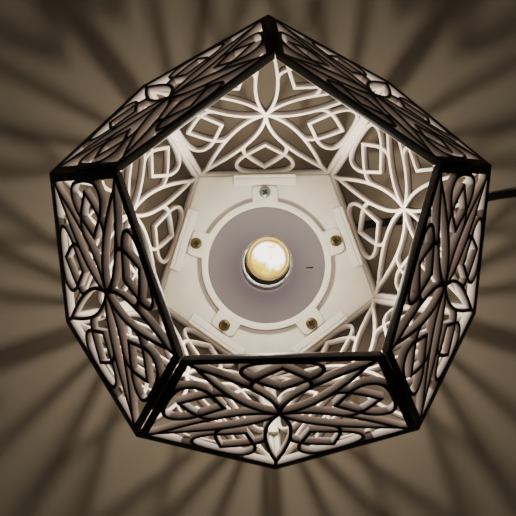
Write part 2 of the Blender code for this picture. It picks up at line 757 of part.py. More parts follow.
def smooth_route(route):
    """Points on a Catmull-Rom curve through the route's own points."""
    points = [Vector(p) for p in route]
    points = [2 * points[0] - points[1]] + points + [2 * points[-1] - points[-2]]
    line = []
    for a, b, c, d in zip(points, points[1:], points[2:], points[3:]):
        for step in range(CORD_STEPS):
            t = step / CORD_STEPS
            line.append(
                b
                + (c - a) * t / 2
                + (2 * a - 5 * b + 4 * c - d) * t**2 / 2
                + (3 * b - a - 3 * c + d) * t**3 / 2
            )
    return line + [points[-2]]


def tube(name, route, material):
    curve = bpy.data.curves.new(name, "CURVE")
    curve.dimensions = "3D"
    curve.bevel_depth = CORD_RADIUS
    curve.bevel_resolution = 2
    curve.use_fill_caps = True
    line = smooth_route(route)
    spline = curve.splines.new("POLY")
    spline.points.add(len(line) - 1)
    for point, place_on in zip(spline.points, line):
        point.co = (*place_on, 1)
    return add_object(name, solid_mesh(add_object(name, curve, None)), material)


def build_coil(rubber):
    """The outer shape of the wound cord: three turns wide and two high."""
    spread = COIL_PITCH * (COIL_COLUMNS - 1) / 2 + CORD_RADIUS
    outer = COIL_MEAN_RADIUS + spread
    inner = COIL_MEAN_RADIUS - spread
    top = FLOOR_LIFT + CORD_RADIUS * 2 * COIL_ROWS
    soft = CORD_RADIUS / 2
    coil = turned("cord_coil", [
        (outer - soft, top),
        (outer, top - soft),
        (outer, FLOOR_LIFT + soft),
        (outer - soft, FLOOR_LIFT),
        (inner + soft, FLOOR_LIFT),
        (inner, FLOOR_LIFT + soft),
        (inner, top - soft),
        (inner + soft, top),
    ], rubber, closed=True)
    coil.location = (*COIL_CENTRE, 0)


def switch_frame():
    """The switch's origin on the floor, and its directions along and across the cord."""
    along = Vector((math.cos(SWITCH_HEADING), math.sin(SWITCH_HEADING), 0))
    return Vector((*SWITCH_CENTRE, 0)), along


def build_switch(plastic, rocker_finish):
    centre, along = switch_frame()
    up = Vector((0, 0, 1))
    top = FLOOR_LIFT + SWITCH_HEIGHT
    size = (SWITCH_LENGTH, SWITCH_WIDTH, SWITCH_HEIGHT)
    case = block("switch_case", size, plastic, SWITCH_ROUNDING)
    place(case, centre + up * (top - SWITCH_HEIGHT / 2), along, up.cross(along))
    pivot = centre + up * (top - ROCKER_PIVOT_DEPTH)
    pocket_depth = ROCKER_BELOW + 2 * ROCKER_PLAY
    pocket_height = pocket_depth + ROCKER_PIVOT_DEPTH + OVERLAP
    pocket_size = (ROCKER_LENGTH + 2 * ROCKER_PLAY, ROCKER_WIDTH + 2 * FIT, pocket_height)
    pocket = block("rocker_pocket", pocket_size, None, group=cutters)
    place(pocket, pivot + up * (pocket_height / 2 - pocket_depth), along, up.cross(along))
    cut(case, pocket)
    wing = ROCKER_LENGTH / 2
    wing_height = ROCKER_ABOVE + wing * math.tan(ROCKER_TILT)
    section = [
        (-ROCKER_FOOT, -ROCKER_BELOW),
        (ROCKER_FOOT, -ROCKER_BELOW),
        (wing, wing_height - ROCKER_ABOVE),
        (wing, wing_height),
        (0, ROCKER_ABOVE),
        (-wing, wing_height),
        (-wing, wing_height - ROCKER_ABOVE),
    ]
    rocker = add_object("switch_rocker", outline_mesh("switch_rocker", [section], ROCKER_WIDTH),
                        rocker_finish)
    tipped = along * math.cos(ROCKER_TILT) + up * math.sin(ROCKER_TILT)
    place(rocker, pivot, tipped, tipped.cross(along.cross(up)) * -1)


def build_plug(plastic, metal):
    """A flat two-pin plug that lies on its broad side, its pins pointing to -Y."""
    ahead = Vector((0, -1, 0))
    up = Vector((0, 0, 1))
    across = up.cross(ahead)
    start = Vector((*PLUG_START, PLUG_AXIS_HEIGHT))
    back = BOOT_LENGTH
    nose = back + PLUG_LENGTH
    waist = back + PLUG_LENGTH * 0.45
    plan = [
        (back, -BOOT_RADIUS * 1.8),
        (waist, -PLUG_WIDTH / 2),
        (nose, -PLUG_NOSE_WIDTH / 2),
        (nose, PLUG_NOSE_WIDTH / 2),
        (waist, PLUG_WIDTH / 2),
        (back, BOOT_RADIUS * 1.8),
    ]
    plug = add_object("plug", outline_mesh("plug", [plan], PLUG_THICKNESS), plastic)
    place(plug, start, ahead, across)
    rounding = plug.modifiers.new("rounding", "BEVEL")
    rounding.width = PLUG_THICKNESS * 0.16
    rounding.segments = 2
    boot = turned("plug_boot", [
        (0, back + OVERLAP),
        (BOOT_RADIUS * 1.25, back + OVERLAP),
        (BOOT_RADIUS, 0),
        (0, 0),
    ], None, SMALL_ROUND, group=cutters)
    place(boot, start, up, across * -1)
    join(plug, boot)
    for side in (-1, 1):
        pin = cylinder("plug_pin", PIN_RADIUS, nose - OVERLAP, nose + PIN_LENGTH,
                       metal, HOLE_SIDES, cutters)
        place(pin, start + across * side * PIN_SPACING / 2, up, across * -1)
        join(plug, pin)


def main():
    clear_scene()
    white = finish("white_printed_plastic", (0.86, 0.82, 0.75), 0.55)
    black = finish("black_plastic", (0.02, 0.02, 0.022), 0.35)
    rubber = finish("black_cord_sheath", (0.015, 0.015, 0.016), 0.45)
    silver = finish("silver_rim", (0.8, 0.8, 0.82), 0.25, 1.0)
    zinc = finish("zinc_screw", (0.72, 0.72, 0.74), 0.35, 1.0)
    brass = finish("brass_screw", (0.72, 0.55, 0.25), 0.35, 1.0)
    ceramic = finish("ceramic", (0.85, 0.83, 0.80), 0.4)
    champagne = finish("champagne_ring", (0.83, 0.70, 0.45), 0.35, 1.0)
    nickel = finish("nickel_cap", (0.75, 0.73, 0.70), 0.3, 1.0)
    glass = finish("frosted_lens", (1.0, 0.95, 0.8), 0.2)
    build_lantern(white)
    build_base_plate(white)
    build_cup(white)
    build_base_screws(zinc, brass)
    build_lampholder(black, silver, ceramic, brass)
    build_bulb(nickel, champagne, glass, black)
    build_strain_relief(rubber)
    tube("cord_lead", LEAD_ROUTE, rubber)
    build_switch(black, black)
    tube("cord_tail", TAIL_ROUTE, rubber)
    build_coil(rubber)
    build_plug(black, nickel)


main()
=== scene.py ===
"""The looks of a dodecahedral lattice table lamp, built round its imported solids.

The lantern's panels get fine, softly rounded lattices, the bulb its thread and its lens, and the
mains cord its whole length, part of it wound into a coil. Every piece gets a procedural finish.
"""

import json
import logging
import math
from dataclasses import dataclass
from enum import Enum
from typing import Iterable, Sequence

import bmesh
import bpy
from mathutils import Matrix, Vector

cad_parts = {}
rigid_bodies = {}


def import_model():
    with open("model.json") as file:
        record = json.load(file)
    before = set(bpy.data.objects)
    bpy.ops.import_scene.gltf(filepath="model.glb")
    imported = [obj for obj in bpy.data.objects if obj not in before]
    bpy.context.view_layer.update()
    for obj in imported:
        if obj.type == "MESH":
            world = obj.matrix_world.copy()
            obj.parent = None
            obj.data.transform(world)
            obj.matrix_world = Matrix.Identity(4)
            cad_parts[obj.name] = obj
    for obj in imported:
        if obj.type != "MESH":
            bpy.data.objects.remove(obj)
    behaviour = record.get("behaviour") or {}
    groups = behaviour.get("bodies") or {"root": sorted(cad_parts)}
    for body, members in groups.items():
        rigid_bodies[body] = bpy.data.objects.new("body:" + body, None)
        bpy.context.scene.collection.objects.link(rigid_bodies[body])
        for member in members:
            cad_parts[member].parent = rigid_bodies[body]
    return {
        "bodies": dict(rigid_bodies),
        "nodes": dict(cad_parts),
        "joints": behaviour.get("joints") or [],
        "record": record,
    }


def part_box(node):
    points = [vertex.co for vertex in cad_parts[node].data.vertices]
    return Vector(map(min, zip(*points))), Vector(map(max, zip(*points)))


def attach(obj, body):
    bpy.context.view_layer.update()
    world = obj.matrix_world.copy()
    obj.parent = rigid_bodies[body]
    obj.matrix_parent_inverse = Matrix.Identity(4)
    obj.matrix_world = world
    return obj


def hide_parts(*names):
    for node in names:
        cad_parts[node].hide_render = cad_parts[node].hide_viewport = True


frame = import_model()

Triple = tuple[float, float, float]
Pair = tuple[float, float]
Outline = list[Vector]

LOG = logging.getLogger("lamp")
UP = Vector((0, 0, 1))


class Body(Enum):
    """The moving groups of the lamp."""

    LAMP = "lamp"
    BULB = "bulb"
    ROCKER = "rocker"


# ---- node trees -----------------------------------------------------------------------------
class Shader:
    """A material's node tree, with short ways to add and link nodes."""

    def __init__(self, name: str) -> None:
        """Make a material that holds one Principled shader.

        Args:
            name: the material's name.
        """
        self.material = bpy.data.materials.new(name)
        self.material.use_nodes = True
        self.tree = self.material.node_tree
        self.surface = self.tree.nodes["Principled BSDF"]
        self._place = None

    def node(self, kind: str, **values: object) -> bpy.types.Node:
        """Add a node.

        Args:
            kind: the node's type, without its ShaderNode prefix.
            values: its properties, or the values of its input sockets.

        Returns:
            The node.
        """
        made = self.tree.nodes.new("ShaderNode" + kind)
        for key, value in values.items():
            if key in made.inputs:
                made.inputs[key].default_value = value
            else:
                setattr(made, key, value)
        return made

    def link(self, source: bpy.types.NodeSocket, target: bpy.types.NodeSocket) -> None:
        """Link one socket to another."""
        self.tree.links.new(source, target)

    def place(self) -> bpy.types.NodeSocket:
        """Return the socket of the piece's own coordinates, in metres.

        Returns:
            The socket.
        """
        if self._place is None:
            self._place = self.node("TexCoord").outputs["Object"]
        return self._place

    def reach(self) -> bpy.types.NodeSocket:
        """Return the socket of the distance from the Z axis, in metres.

        Returns:
            The socket.
        """
        flat = self.node("VectorMath", operation="MULTIPLY")
        flat.inputs[1].default_value = (1, 1, 0)
        self.link(self.place(), flat.inputs[0])
        length = self.node("VectorMath", operation="LENGTH")
        self.link(flat.outputs["Vector"], length.inputs[0])
        return length.outputs["Value"]

    def noise(self, scale: float, detail: float = 3.0) -> bpy.types.NodeSocket:
        """Add a noise texture on the piece's own coordinates and return its value.

        Args:
            scale: how many swells a metre has.
            detail: how many finer layers it has.

        Returns:
            The socket with the value.
        """
        made = self.node("TexNoise", Scale=scale, Detail=detail)
        self.link(self.place(), made.inputs["Vector"])
        return made.outputs["Fac"]

    def spread(self, value: bpy.types.NodeSocket, low: float, high: float,
               start: float = 0.3, end: float = 0.7, kind: str = "LINEAR") -> bpy.types.NodeSocket:
        """Map a value from start..end to low..high.

        Args:
            value: the socket to read.
            low: the result at start.
            high: the result at end.
            start: the value that gives low.
            end: the value that gives high.
            kind: how the result goes from one to the other.

        Returns:
            The socket with the mapped value.
        """
        made = self.node("MapRange", interpolation_type=kind)
        for name, number in zip(("From Min", "From Max", "To Min", "To Max"),
                                (start, end, low, high)):
            made.inputs[name].default_value = number
        self.link(value, made.inputs["Value"])
        return made.outputs["Result"]

    def mix(self, share: bpy.types.NodeSocket, first: object,
            second: object) -> bpy.types.NodeSocket:
        """Mix two colours, each a plain colour or the socket that gives it.

        Args:
            share: the socket that says how much of the second shows, from 0 to 1.
            first: the first colour.
            second: the second colour.

        Returns:
            The socket with the mixed colour.
        """
        made = self.node("MixRGB")
        self.link(share, made.inputs["Fac"])
        for name, colour in (("Color1", first), ("Color2", second)):
            if isinstance(colour, bpy.types.NodeSocket):
                self.link(colour, made.inputs[name])
            else:
                made.inputs[name].default_value = (*colour, 1)
        return made.outputs["Color"]

    def mottle(self, share: bpy.types.NodeSocket, colour: Triple, darkest: float,
               brightest: float) -> bpy.types.NodeSocket:
        """Vary a colour between two shares of its brightness.

        Args:
            share: the socket that says where it is brighter, from 0 to 1.
            colour: the colour.
            darkest: the share of its brightness where it is darkest.
            brightest: the share where it is brightest.

        Returns:
            The socket with the varied colour.
        """
        return self.mix(share, tinted(colour, darkest), tinted(colour, brightest))

    def bump(self, height: bpy.types.NodeSocket, strength: float, distance: float,
             before: bpy.types.NodeSocket | None = None) -> bpy.types.NodeSocket:
        """Add a bump and return its normal.

        Args:
            height: the socket with the height.
            strength: how strong the bump is, from 0 to 1.
            distance: how high the height's full range stands, in metres.
            before: the normal of a bump below this one.

        Returns:
            The socket with the bumped normal.
        """
        made = self.node("Bump", Strength=strength, Distance=distance)
        self.link(height, made.inputs["Height"])
        if before is not None:
            self.link(before, made.inputs["Normal"])
        return made.outputs["Normal"]

    def set(self, **values: object) -> "Shader":
        """Set or link the Principled shader's own sockets; a name's _ stands for a space.

        Args:
            values: the plain values or sockets.

        Returns:
            This shader.
        """
        for key, value in values.items():
            socket = self.surface.inputs[key.replace("_", " ")]
            if isinstance(value, bpy.types.NodeSocket):
                self.link(value, socket)
            else:
                socket.default_value = value
        return self


def tinted(colour: Triple, share: float) -> Triple:
    """Return the colour made brighter or darker by a share."""
    return tuple(min(1.0, c * share) for c in colour)


# ---- finishes -------------------------------------------------------------------------------
@dataclass(frozen=True)
class Finish:
    """A finish, whose material is made the first time it is asked for."""

    name: str

    def material(self) -> bpy.types.Material:
        """Return the finish's material.

        Returns:
            The material, which every piece of this finish shares.
        """
        found = bpy.data.materials.get(self.name)
        if found is None:
            found = self.made(Shader(self.name)).material
        return found

    def made(self, shader: Shader) -> Shader:
        """Fill the finish's node tree and return it."""
        raise NotImplementedError(self.name)


@dataclass(frozen=True)
class PrintedPlastic(Finish):
    """Matt printed plastic, with fine layer lines along Z and a slight mottle."""

    colour: Triple
    roughness: float = 0.5
    layer: float = 0.0004

    def made(self, shader: Shader) -> Shader:
        """Fill the finish's node tree and return it.

        Args:
            shader: the new shader.

        Returns:
            The same shader, filled.
        """
        grain = shader.noise(900.0, 2.0)
        body = shader.mottle(shader.spread(shader.noise(60.0, 4.0), 0, 1), self.colour,
                             0.93, 1.05)
        lines = shader.node("TexWave", bands_direction="Z", Scale=math.pi / 10 / self.layer,
                            Distortion=0.4, Detail=1.0)
        lines.inputs["Detail Scale"].default_value = 0.4
        shader.link(shader.place(), lines.inputs["Vector"])
        fine = shader.bump(lines.outputs["Fac"], 0.35, 0.00004)
        return shader.set(
            Specular_IOR_Level=0.35, Subsurface_Weight=0.06, Subsurface_Scale=0.002,
            Base_Color=self.shaded(shader, body),
            Roughness=shader.spread(grain, self.roughness - 0.06, self.roughness + 0.08),
            Normal=shader.bump(grain, 0.25, 0.00006, fine))

    def shaded(self, shader: Shader, body: bpy.types.NodeSocket) -> bpy.types.NodeSocket:
        """Return the body colour's socket, which some printed parts shade."""
        return body


@dataclass(frozen=True)
class ShadowedLatticePlastic(PrintedPlastic):
    """Printed plastic whose walls take painted shade, darker towards the outer face."""

    # dark is the painted shade's colour at the outer face; fade is the depth where the painted
    # shade ends.
    dark: Triple = (0.035, 0.030, 0.030)
    fade: float = 0.75

    def shaded(self, shader: Shader, body: bpy.types.NodeSocket) -> bpy.types.NodeSocket:
        """Return the body colour with painted shade, darkened by the mesh's own depth below the
        outer face.
        """
        depth = shader.node("Attribute", attribute_name="depth").outputs["Fac"]
        return shader.mix(shader.spread(depth, 0, 1, 0, self.fade), self.dark, body)


@dataclass(frozen=True)
class ShadedDishPlastic(PrintedPlastic):
    """Printed plastic with painted shade, darker and more purple in the middle of the dish and
    fading outwards.
    """

    # middle is the painted shade's colour in the middle; start and end are where it fades out.
    middle: Triple = (0.060, 0.038, 0.054)
    start: float = 0.022
    end: float = 0.047

    def shaded(self, shader: Shader, body: bpy.types.NodeSocket) -> bpy.types.NodeSocket:
        """Return the body colour, with the darker, purple painted shade round the middle."""
        share = shader.spread(shader.reach(), 0, 1, self.start, self.end, "SMOOTHSTEP")
        return shader.mix(share, self.middle, body)


@dataclass(frozen=True)
class MouldedPlastic(Finish):
    """Moulded plastic or rubber with a fine spark-eroded grain."""

    colour: Triple
    roughness: float = 0.35
    grain: float = 1400.0
    relief: float = 0.00003

    def made(self, shader: Shader) -> Shader:
        """Fill the finish's node tree and return it.

        Args:
            shader: the new shader.

        Returns:
            The same shader, filled.
        """
        wear = shader.noise(90.0, 5.0)
        return shader.set(
            Specular_IOR_Level=0.5,
            Base_Color=shader.mottle(shader.spread(wear, 0, 1), self.colour, 0.85, 1.3),
            Roughness=shader.spread(wear, self.roughness - 0.05, self.roughness + 0.12),
            Normal=shader.bump(shader.noise(self.grain, 3.0), 0.4, self.relief))


@dataclass(frozen=True)
class Metal(Finish):
    """Plated or turned metal, with fine scratches and a slight tarnish."""

    colour: Triple
    roughness: float = 0.28
    tarnish: Triple = (0.35, 0.28, 0.18)
    amount: float = 0.25

    def made(self, shader: Shader) -> Shader:
        """Fill the finish's node tree and return it.

        Args:
            shader: the new shader.

        Returns:
            The same shader, filled.
        """
        cloud = shader.noise(260.0, 6.0)
        stretch = shader.node("Mapping")
        stretch.inputs["Scale"].default_value = (1.0, 1.0, 12.0)
        scratch = shader.node("TexNoise", Scale=500.0, Detail=4.0)
        shader.link(shader.place(), stretch.inputs["Vector"])
        shader.link(stretch.outputs["Vector"], scratch.inputs["Vector"])
        tarnished = shader.spread(cloud, 0, self.amount, 0.35, 0.75)
        return shader.set(
            Metallic=1.0,
            Base_Color=shader.mix(tarnished, self.colour, self.tarnish),
            Roughness=shader.spread(cloud, self.roughness - 0.07, self.roughness + 0.12),
            Normal=shader.bump(scratch.outputs["Fac"], 0.25, 0.00002))


@dataclass(frozen=True)
class LitLens(Finish):
    """A lit, faceted lens: white-hot, with a yellow side, a warm rim and coloured glints."""

    radius: float
    strength: float = 4.0
    hot: Triple = (1.0, 0.96, 0.88)
    yellow: Triple = (0.50, 0.37, 0.03)
    rim: Triple = (0.28, 0.16, 0.03)
    hot_side: Triple = (0.45, 0.9, 0)
    ragged: float = 0.9

    def made(self, shader: Shader) -> Shader:
        """Fill the finish's node tree and return it.

        Args:
            shader: the new shader.

        Returns:
            The same shader, filled.
        """
        glow = shader.mix(self.yellow_share(shader), self.hot, self.yellow)
        glinting = shader.node("MixRGB", blend_type="MULTIPLY", Fac=1.0)
        shader.link(glow, glinting.inputs["Color1"])
        shader.link(self.glints(shader), glinting.inputs["Color2"])
        edge = shader.spread(shader.reach(), 0, 1, 0.86 * self.radius, 0.95 * self.radius)
        colour = shader.mix(edge, glinting.outputs["Color"], self.rim)
        facets = shader.node("TexVoronoi", Scale=330.0)
        shader.link(shader.place(), facets.inputs["Vector"])
        return shader.set(
            Roughness=0.12, Coat_Weight=0.6, Coat_Roughness=0.05,
            Base_Color=colour, Emission_Color=colour, Emission_Strength=self.strength,
            Normal=shader.bump(facets.outputs["Distance"], 0.6, 0.0006))

    def yellow_share(self, shader: Shader) -> bpy.types.NodeSocket:
        """Return the socket that says how yellow the lens is, with a ragged border.

        Args:
            shader: the lens's shader.

        Returns:
            The socket, from 0 to 1.
        """
        across = shader.node("VectorMath", operation="DOT_PRODUCT")
        across.inputs[1].default_value = self.hot_side
        shader.link(shader.place(), across.inputs[0])
        tilt = shader.node("Math", operation="MULTIPLY_ADD")
        tilt.inputs[1].default_value = self.ragged * self.radius
        shader.link(shader.noise(190.0, 2.0), tilt.inputs[0])
        shader.link(across.outputs["Value"], tilt.inputs[2])
        return shader.spread(tilt.outputs[0], 1, 0, -0.10 * self.radius, 0.28 * self.radius)

    def glints(self, shader: Shader) -> bpy.types.NodeSocket:
        """Return the socket of a white tint with scattered orange and green glints.

        Args:
            shader: the lens's shader.

        Returns:
            The socket of the tint.
        """
        ramp = shader.node("ValToRGB")
        shader.link(shader.noise(150.0, 1.0), ramp.inputs["Fac"])
        white, green = ramp.color_ramp.elements
        white.position = 0.58
        white.color = (1, 1, 1, 1)
        green.position = 0.70
        green.color = (0.55, 0.9, 0.10, 1)
        ramp.color_ramp.elements.new(0.64).color = (1.0, 0.55, 0.10, 1)
        return ramp.outputs["Color"]


@dataclass(frozen=True)
class PaleFloor(Finish):
    """A plain pale floor with a faint mottle."""

    colour: Triple

    def made(self, shader: Shader) -> Shader:
        """Fill the finish's node tree and return it.

        Args:
            shader: the new shader.

        Returns:
            The same shader, filled.
        """
        share = shader.spread(shader.noise(9.0, 6.0), 0, 1)
        return shader.set(
            Specular_IOR_Level=0.2,
            Base_Color=shader.mottle(share, self.colour, 0.95, 1.04),
            Roughness=shader.spread(shader.noise(300.0), 0.65, 0.8))


WHITE = PrintedPlastic("white_print", (0.86, 0.83, 0.72))
# The dish: a grey copy of the white print as painted shade, with more painted shade in its middle.
DISH_PAINTED_SHADE = ShadedDishPlastic("shaded_dish_print", (0.080, 0.060, 0.063), 0.45, 0.0005)
# The panels' inner faces: a dimmed copy of the white print, painted shade.
INNER_PAINTED_SHADE = PrintedPlastic("painted_inner_shade", (0.54, 0.495, 0.42))
# The clips: a dimmed copy of the white print, painted shade.
CLIP_PAINTED_SHADE = PrintedPlastic("painted_clip_shade", (0.44, 0.395, 0.34))
# The groove round the cup and the recesses round the lugs: a greyer copy of the white print,
# painted shade.
GROOVE_PAINTED_SHADE = PrintedPlastic("painted_groove_shade", (0.60, 0.57, 0.54), 0.55)
# The lattice walls: a dimmer, pinker copy of the white print as painted shade, darkening further
# towards the outer face.
LATTICE = ShadowedLatticePlastic("lattice_print", (0.69, 0.61, 0.60))
# Black for the panels' outer faces, and for their mitred sides as painted shade.
BLACK_OUTSIDE = PrintedPlastic("black_outside_finish", (0.012, 0.011, 0.011), 0.5)
BLACK = MouldedPlastic("black_moulding", (0.016, 0.016, 0.017), 0.28)
ROCKER = MouldedPlastic("rocker_moulding", (0.022, 0.022, 0.024), 0.2)
SHEATH = MouldedPlastic("cord_sheath", (0.012, 0.012, 0.012), 0.42, 700.0, 0.00006)
CERAMIC = MouldedPlastic("ceramic", (0.78, 0.75, 0.70), 0.3, 500.0)
TIE = MouldedPlastic("cord_tie", (0.03, 0.03, 0.032), 0.6, 2500.0, 0.0001)
# Near black for the screws' cross recesses and head rims: painted shade.
SCREW_PAINTED_SHADE = MouldedPlastic("painted_recess_shade", (0.03, 0.025, 0.018), 0.6)
DARK = MouldedPlastic("dark_glass", (0.02, 0.015, 0.02), 0.12)
ZINC = Metal("zinc_plate", (0.34, 0.42, 0.41), 0.34, (0.10, 0.15, 0.15), 0.6)
BRASS = Metal("yellow_plate", (0.19, 0.14, 0.062), 0.38, (0.06, 0.04, 0.018), 0.8)
SILVER = Metal("bright_rim", (0.88, 0.86, 0.86), 0.18, (0.5, 0.48, 0.5), 0.2)
NICKEL = Metal("nickel_plate", (0.74, 0.71, 0.66), 0.24)
GOLD = Metal("champagne_ring", (0.92, 0.78, 0.36), 0.36, (0.62, 0.48, 0.16), 0.5)
FLOOR = PaleFloor("pale_floor", (0.46, 0.40, 0.31))


# ---- mesh tools -----------------------------------------------------------------------------
def new_object(name: str, mesh: bpy.types.ID) -> bpy.types.Object:
    """Link a new object to the scene and return it.

    Args:
        name: the object's name.
        mesh: its mesh, curve, light or camera.

    Returns:
        The object.
    """
    item = bpy.data.objects.new(name, mesh)
    bpy.context.scene.collection.objects.link(item)
    return item


def dress(item: bpy.types.Object, *finishes: Finish) -> bpy.types.Object:
    """Give an object one material slot for each finish and return it.

    Args:
        item: the object.
        finishes: its finishes, in the order of its slots.

    Returns:
        The object.
    """
    item.data.materials.clear()
    for finish in finishes:
        item.data.materials.append(finish.material())
    return item


def from_bmesh(name: str, shape: bmesh.types.BMesh) -> bpy.types.Object:
    """Turn a bmesh into a smooth-shaded object and free it.

    Args:
        name: the object's name.
        shape: the bmesh.

    Returns:
        The object, with edges sharper than 35 degrees kept sharp.
    """
    bmesh.ops.recalc_face_normals(shape, faces=shape.faces)
    mesh = bpy.data.meshes.new(name)
    shape.to_mesh(mesh)
    shape.free()
    mesh.shade_smooth()
    mesh.set_sharp_from_angle(angle=math.radians(35))
    return new_object(name, mesh)


def level_ring(radius: float, height: float, steps: int) -> list[Vector]:
    """Return the points of a ring round the Z axis."""
    angles = (2 * math.pi * k / steps for k in range(steps))
    return [Vector((radius * math.cos(a), radius * math.sin(a), height)) for a in angles]


def lathe(name: str, profile: Sequence[Pair], steps: int = 96,
          closed: bool = False) -> bpy.types.Object:
    """Turn a profile about the Z axis.

    Args:
        name: the object's name.
        profile: (radius, height) points; a radius of 0 is on the axis.
        steps: how many sides the turned piece has.
        closed: whether the last point joins the first.

    Returns:
        The turned object.
    """
    shape = bmesh.new()
    rings = []
    for radius, height in profile:
        if radius <= 0:
            rings.append([shape.verts.new((0, 0, height))])
        else:
            rings.append([shape.verts.new(p) for p in level_ring(radius, height, steps)])
    pairs = list(zip(rings, rings[1:]))
    if closed:
        pairs.append((rings[-1], rings[0]))
    for first, second in pairs:
        for k in range(steps):
            after = (k + 1) % steps
            corners = [first[k % len(first)], first[after % len(first)],
                       second[after % len(second)], second[k % len(second)]]
            unique = list(dict.fromkeys(corners))
            if len(unique) > 2:
                shape.faces.new(unique)
    return from_bmesh(name, shape)


def softened(profile: Sequence[Pair], radius: float, steps: int = 4,
             closed: bool = False) -> list[Pair]:
    """Round a profile's corners.

    Args:
        profile: (radius, height) points.
        radius: how far from each corner its rounding starts.
        steps: how many pieces each rounding has.
        closed: whether the profile is a ring, whose every corner is rounded.

    Returns:
        The rounded profile.
    """
    points = [Vector(p) for p in profile]
    count = len(points)
    line = []
    for k, corner in enumerate(points):
        if not closed and k in (0, count - 1):
            line.append(tuple(corner))
            continue
        before, after = points[k - 1], points[(k + 1) % count]
        reach = min(radius, (corner - before).length * 0.45, (after - corner).length * 0.45)
        start = corner + (before - corner).normalized() * reach
        end = corner + (after - corner).normalized() * reach
        for step in range(steps + 1):
            t = step / steps
            line.append(tuple(start.lerp(corner, t).lerp(corner.lerp(end, t), t)))
    return line


def rounded(item: bpy.types.Object, width: float) -> bpy.types.Object:
    """Add a bevel to an object's sharp edges and return it.

    Args:
        item: the object.
        width: the bevel's width, in metres.

    Returns:
        The object.
    """
    bevel = item.modifiers.new("soft_edges", "BEVEL")
    bevel.width = width
    bevel.segments = 2
    bevel.limit_method = "ANGLE"
    bevel.angle_limit = math.radians(35)
    bevel.harden_normals = True
    return item


def as_shown(item: bpy.types.Object) -> bpy.types.Mesh:
    """Return a new mesh of an object's shape, with its modifiers or its curve worked out.

    Args:
        item: the object, a mesh or a curve.

    Returns:
        The mesh.
    """
    bpy.context.view_layer.update()
    graph = bpy.context.evaluated_depsgraph_get()
    return bpy.data.meshes.new_from_object(item.evaluated_get(graph))


def outline_solid(name: str, outlines: Iterable[Outline], thickness: float,
                  soft: float = 0.0) -> bpy.types.Mesh:
    """Make a flat solid from closed outlines, the first outside and the others its holes.

    Args:
        name: the mesh's name.
        outlines: the outlines' (x, y) points, each inset by the rounding.
        thickness: the solid's thickness, centred on height 0.
        soft: how wide its edges' rounding is, in metres.

    Returns:
        The welded mesh.
    """
    curve = bpy.data.curves.new(name, "CURVE")
    curve.dimensions = "2D"
    curve.fill_mode = "BOTH"
    curve.extrude = thickness / 2 - soft
    curve.bevel_depth = soft
    curve.bevel_resolution = 1
    for outline in outlines:
        spline = curve.splines.new("POLY")
        spline.points.add(len(outline) - 1)
        spline.use_cyclic_u = True
        for point, place in zip(spline.points, outline):
            point.co = (place[0], place[1], 0, 1)
    item = new_object(name, curve)
    mesh = as_shown(item)
    bpy.data.objects.remove(item)
    shape = bmesh.new()
    shape.from_mesh(mesh)
    bmesh.ops.remove_doubles(shape, verts=shape.verts, dist=0.000002)
    bmesh.ops.recalc_face_normals(shape, faces=shape.faces)
    shape.to_mesh(mesh)
    shape.free()
    return mesh


def stand(item: bpy.types.Object, origin: Sequence[float], across: Vector,
          up: Vector) -> bpy.types.Object:
    """Stand an object in its place, turned.

    Args:
        item: the object.
        origin: where its own origin goes.
        across: the direction of its local X.
        up: the direction of its local Y, at a right angle to across.

    Returns:
        The object.
    """
    across, up = across.normalized(), up.normalized()
    turn = Matrix((across, up, across.cross(up))).transposed()
    item.matrix_world = Matrix.LocRotScale(Vector(origin), turn, None)
    return item


def middle_of(node: str) -> Vector:
    """Return the middle of a solid's box."""
    low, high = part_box(node)
    return (low + high) / 2


def softened_copy(node: str, name: str, finish: Finish, soft: float) -> bpy.types.Object:
    """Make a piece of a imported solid's own shape, welded and with rounded edges.

    Args:
        node: the solid's name.
        name: the piece's name.
        finish: its finish.
        soft: how wide its edges' rounding is, in metres.

    Returns:
        The piece.
    """
    shape = bmesh.new()
    shape.from_mesh(bpy.data.objects[node].data)
    bmesh.ops.remove_doubles(shape, verts=shape.verts, dist=0.000005)
    bmesh.ops.dissolve_limit(shape, angle_limit=math.radians(1), verts=shape.verts,
                             edges=shape.edges)
    sharp = [edge for edge in shape.edges if edge.calc_face_angle(0) > math.radians(30)]
    bmesh.ops.bevel(shape, geom=sharp, offset=soft, offset_type="OFFSET", segments=3,
                    profile=0.5, affect="EDGES", clamp_overlap=True)
    return dress(from_bmesh(name, shape), finish)


def carved(item: bpy.types.Object, tool: bpy.types.Object, operation: str = "DIFFERENCE",
           own_faces: bool = False) -> bpy.types.Object:
    """Cut a tool out of an object, or join it on, and remove the tool.

    Args:
        item: the object that is changed.
        tool: the object that cuts or joins.
        operation: DIFFERENCE or UNION.
        own_faces: whether faces of one object that cross each other are allowed for.

    Returns:
        The changed object.
    """
    change = item.modifiers.new("carve", "BOOLEAN")
    change.operation = operation
    change.solver = "EXACT"
    change.use_self = own_faces
    change.object = tool
    mesh = as_shown(item)
    item.modifiers.clear()
    item.data = mesh
    bpy.data.objects.remove(tool)
    return item


def cutter(name: str, outlines: Sequence[Outline], thickness: float, place: Sequence[float],
           turned: float = 0.0) -> bpy.types.Object:
    """Make a level flat solid that is to be cut out of a piece or joined on to it.

    Args:
        name: the solid's name.
        outlines: its outlines, the first outside and the others its holes.
        thickness: its thickness.
        place: where its middle goes.
        turned: its turn about the vertical, in radians.

    Returns:
        The solid.
    """
    item = new_object(name, outline_solid(name, outlines, thickness))
    item.location = place
    item.rotation_euler.z = turned
    return item


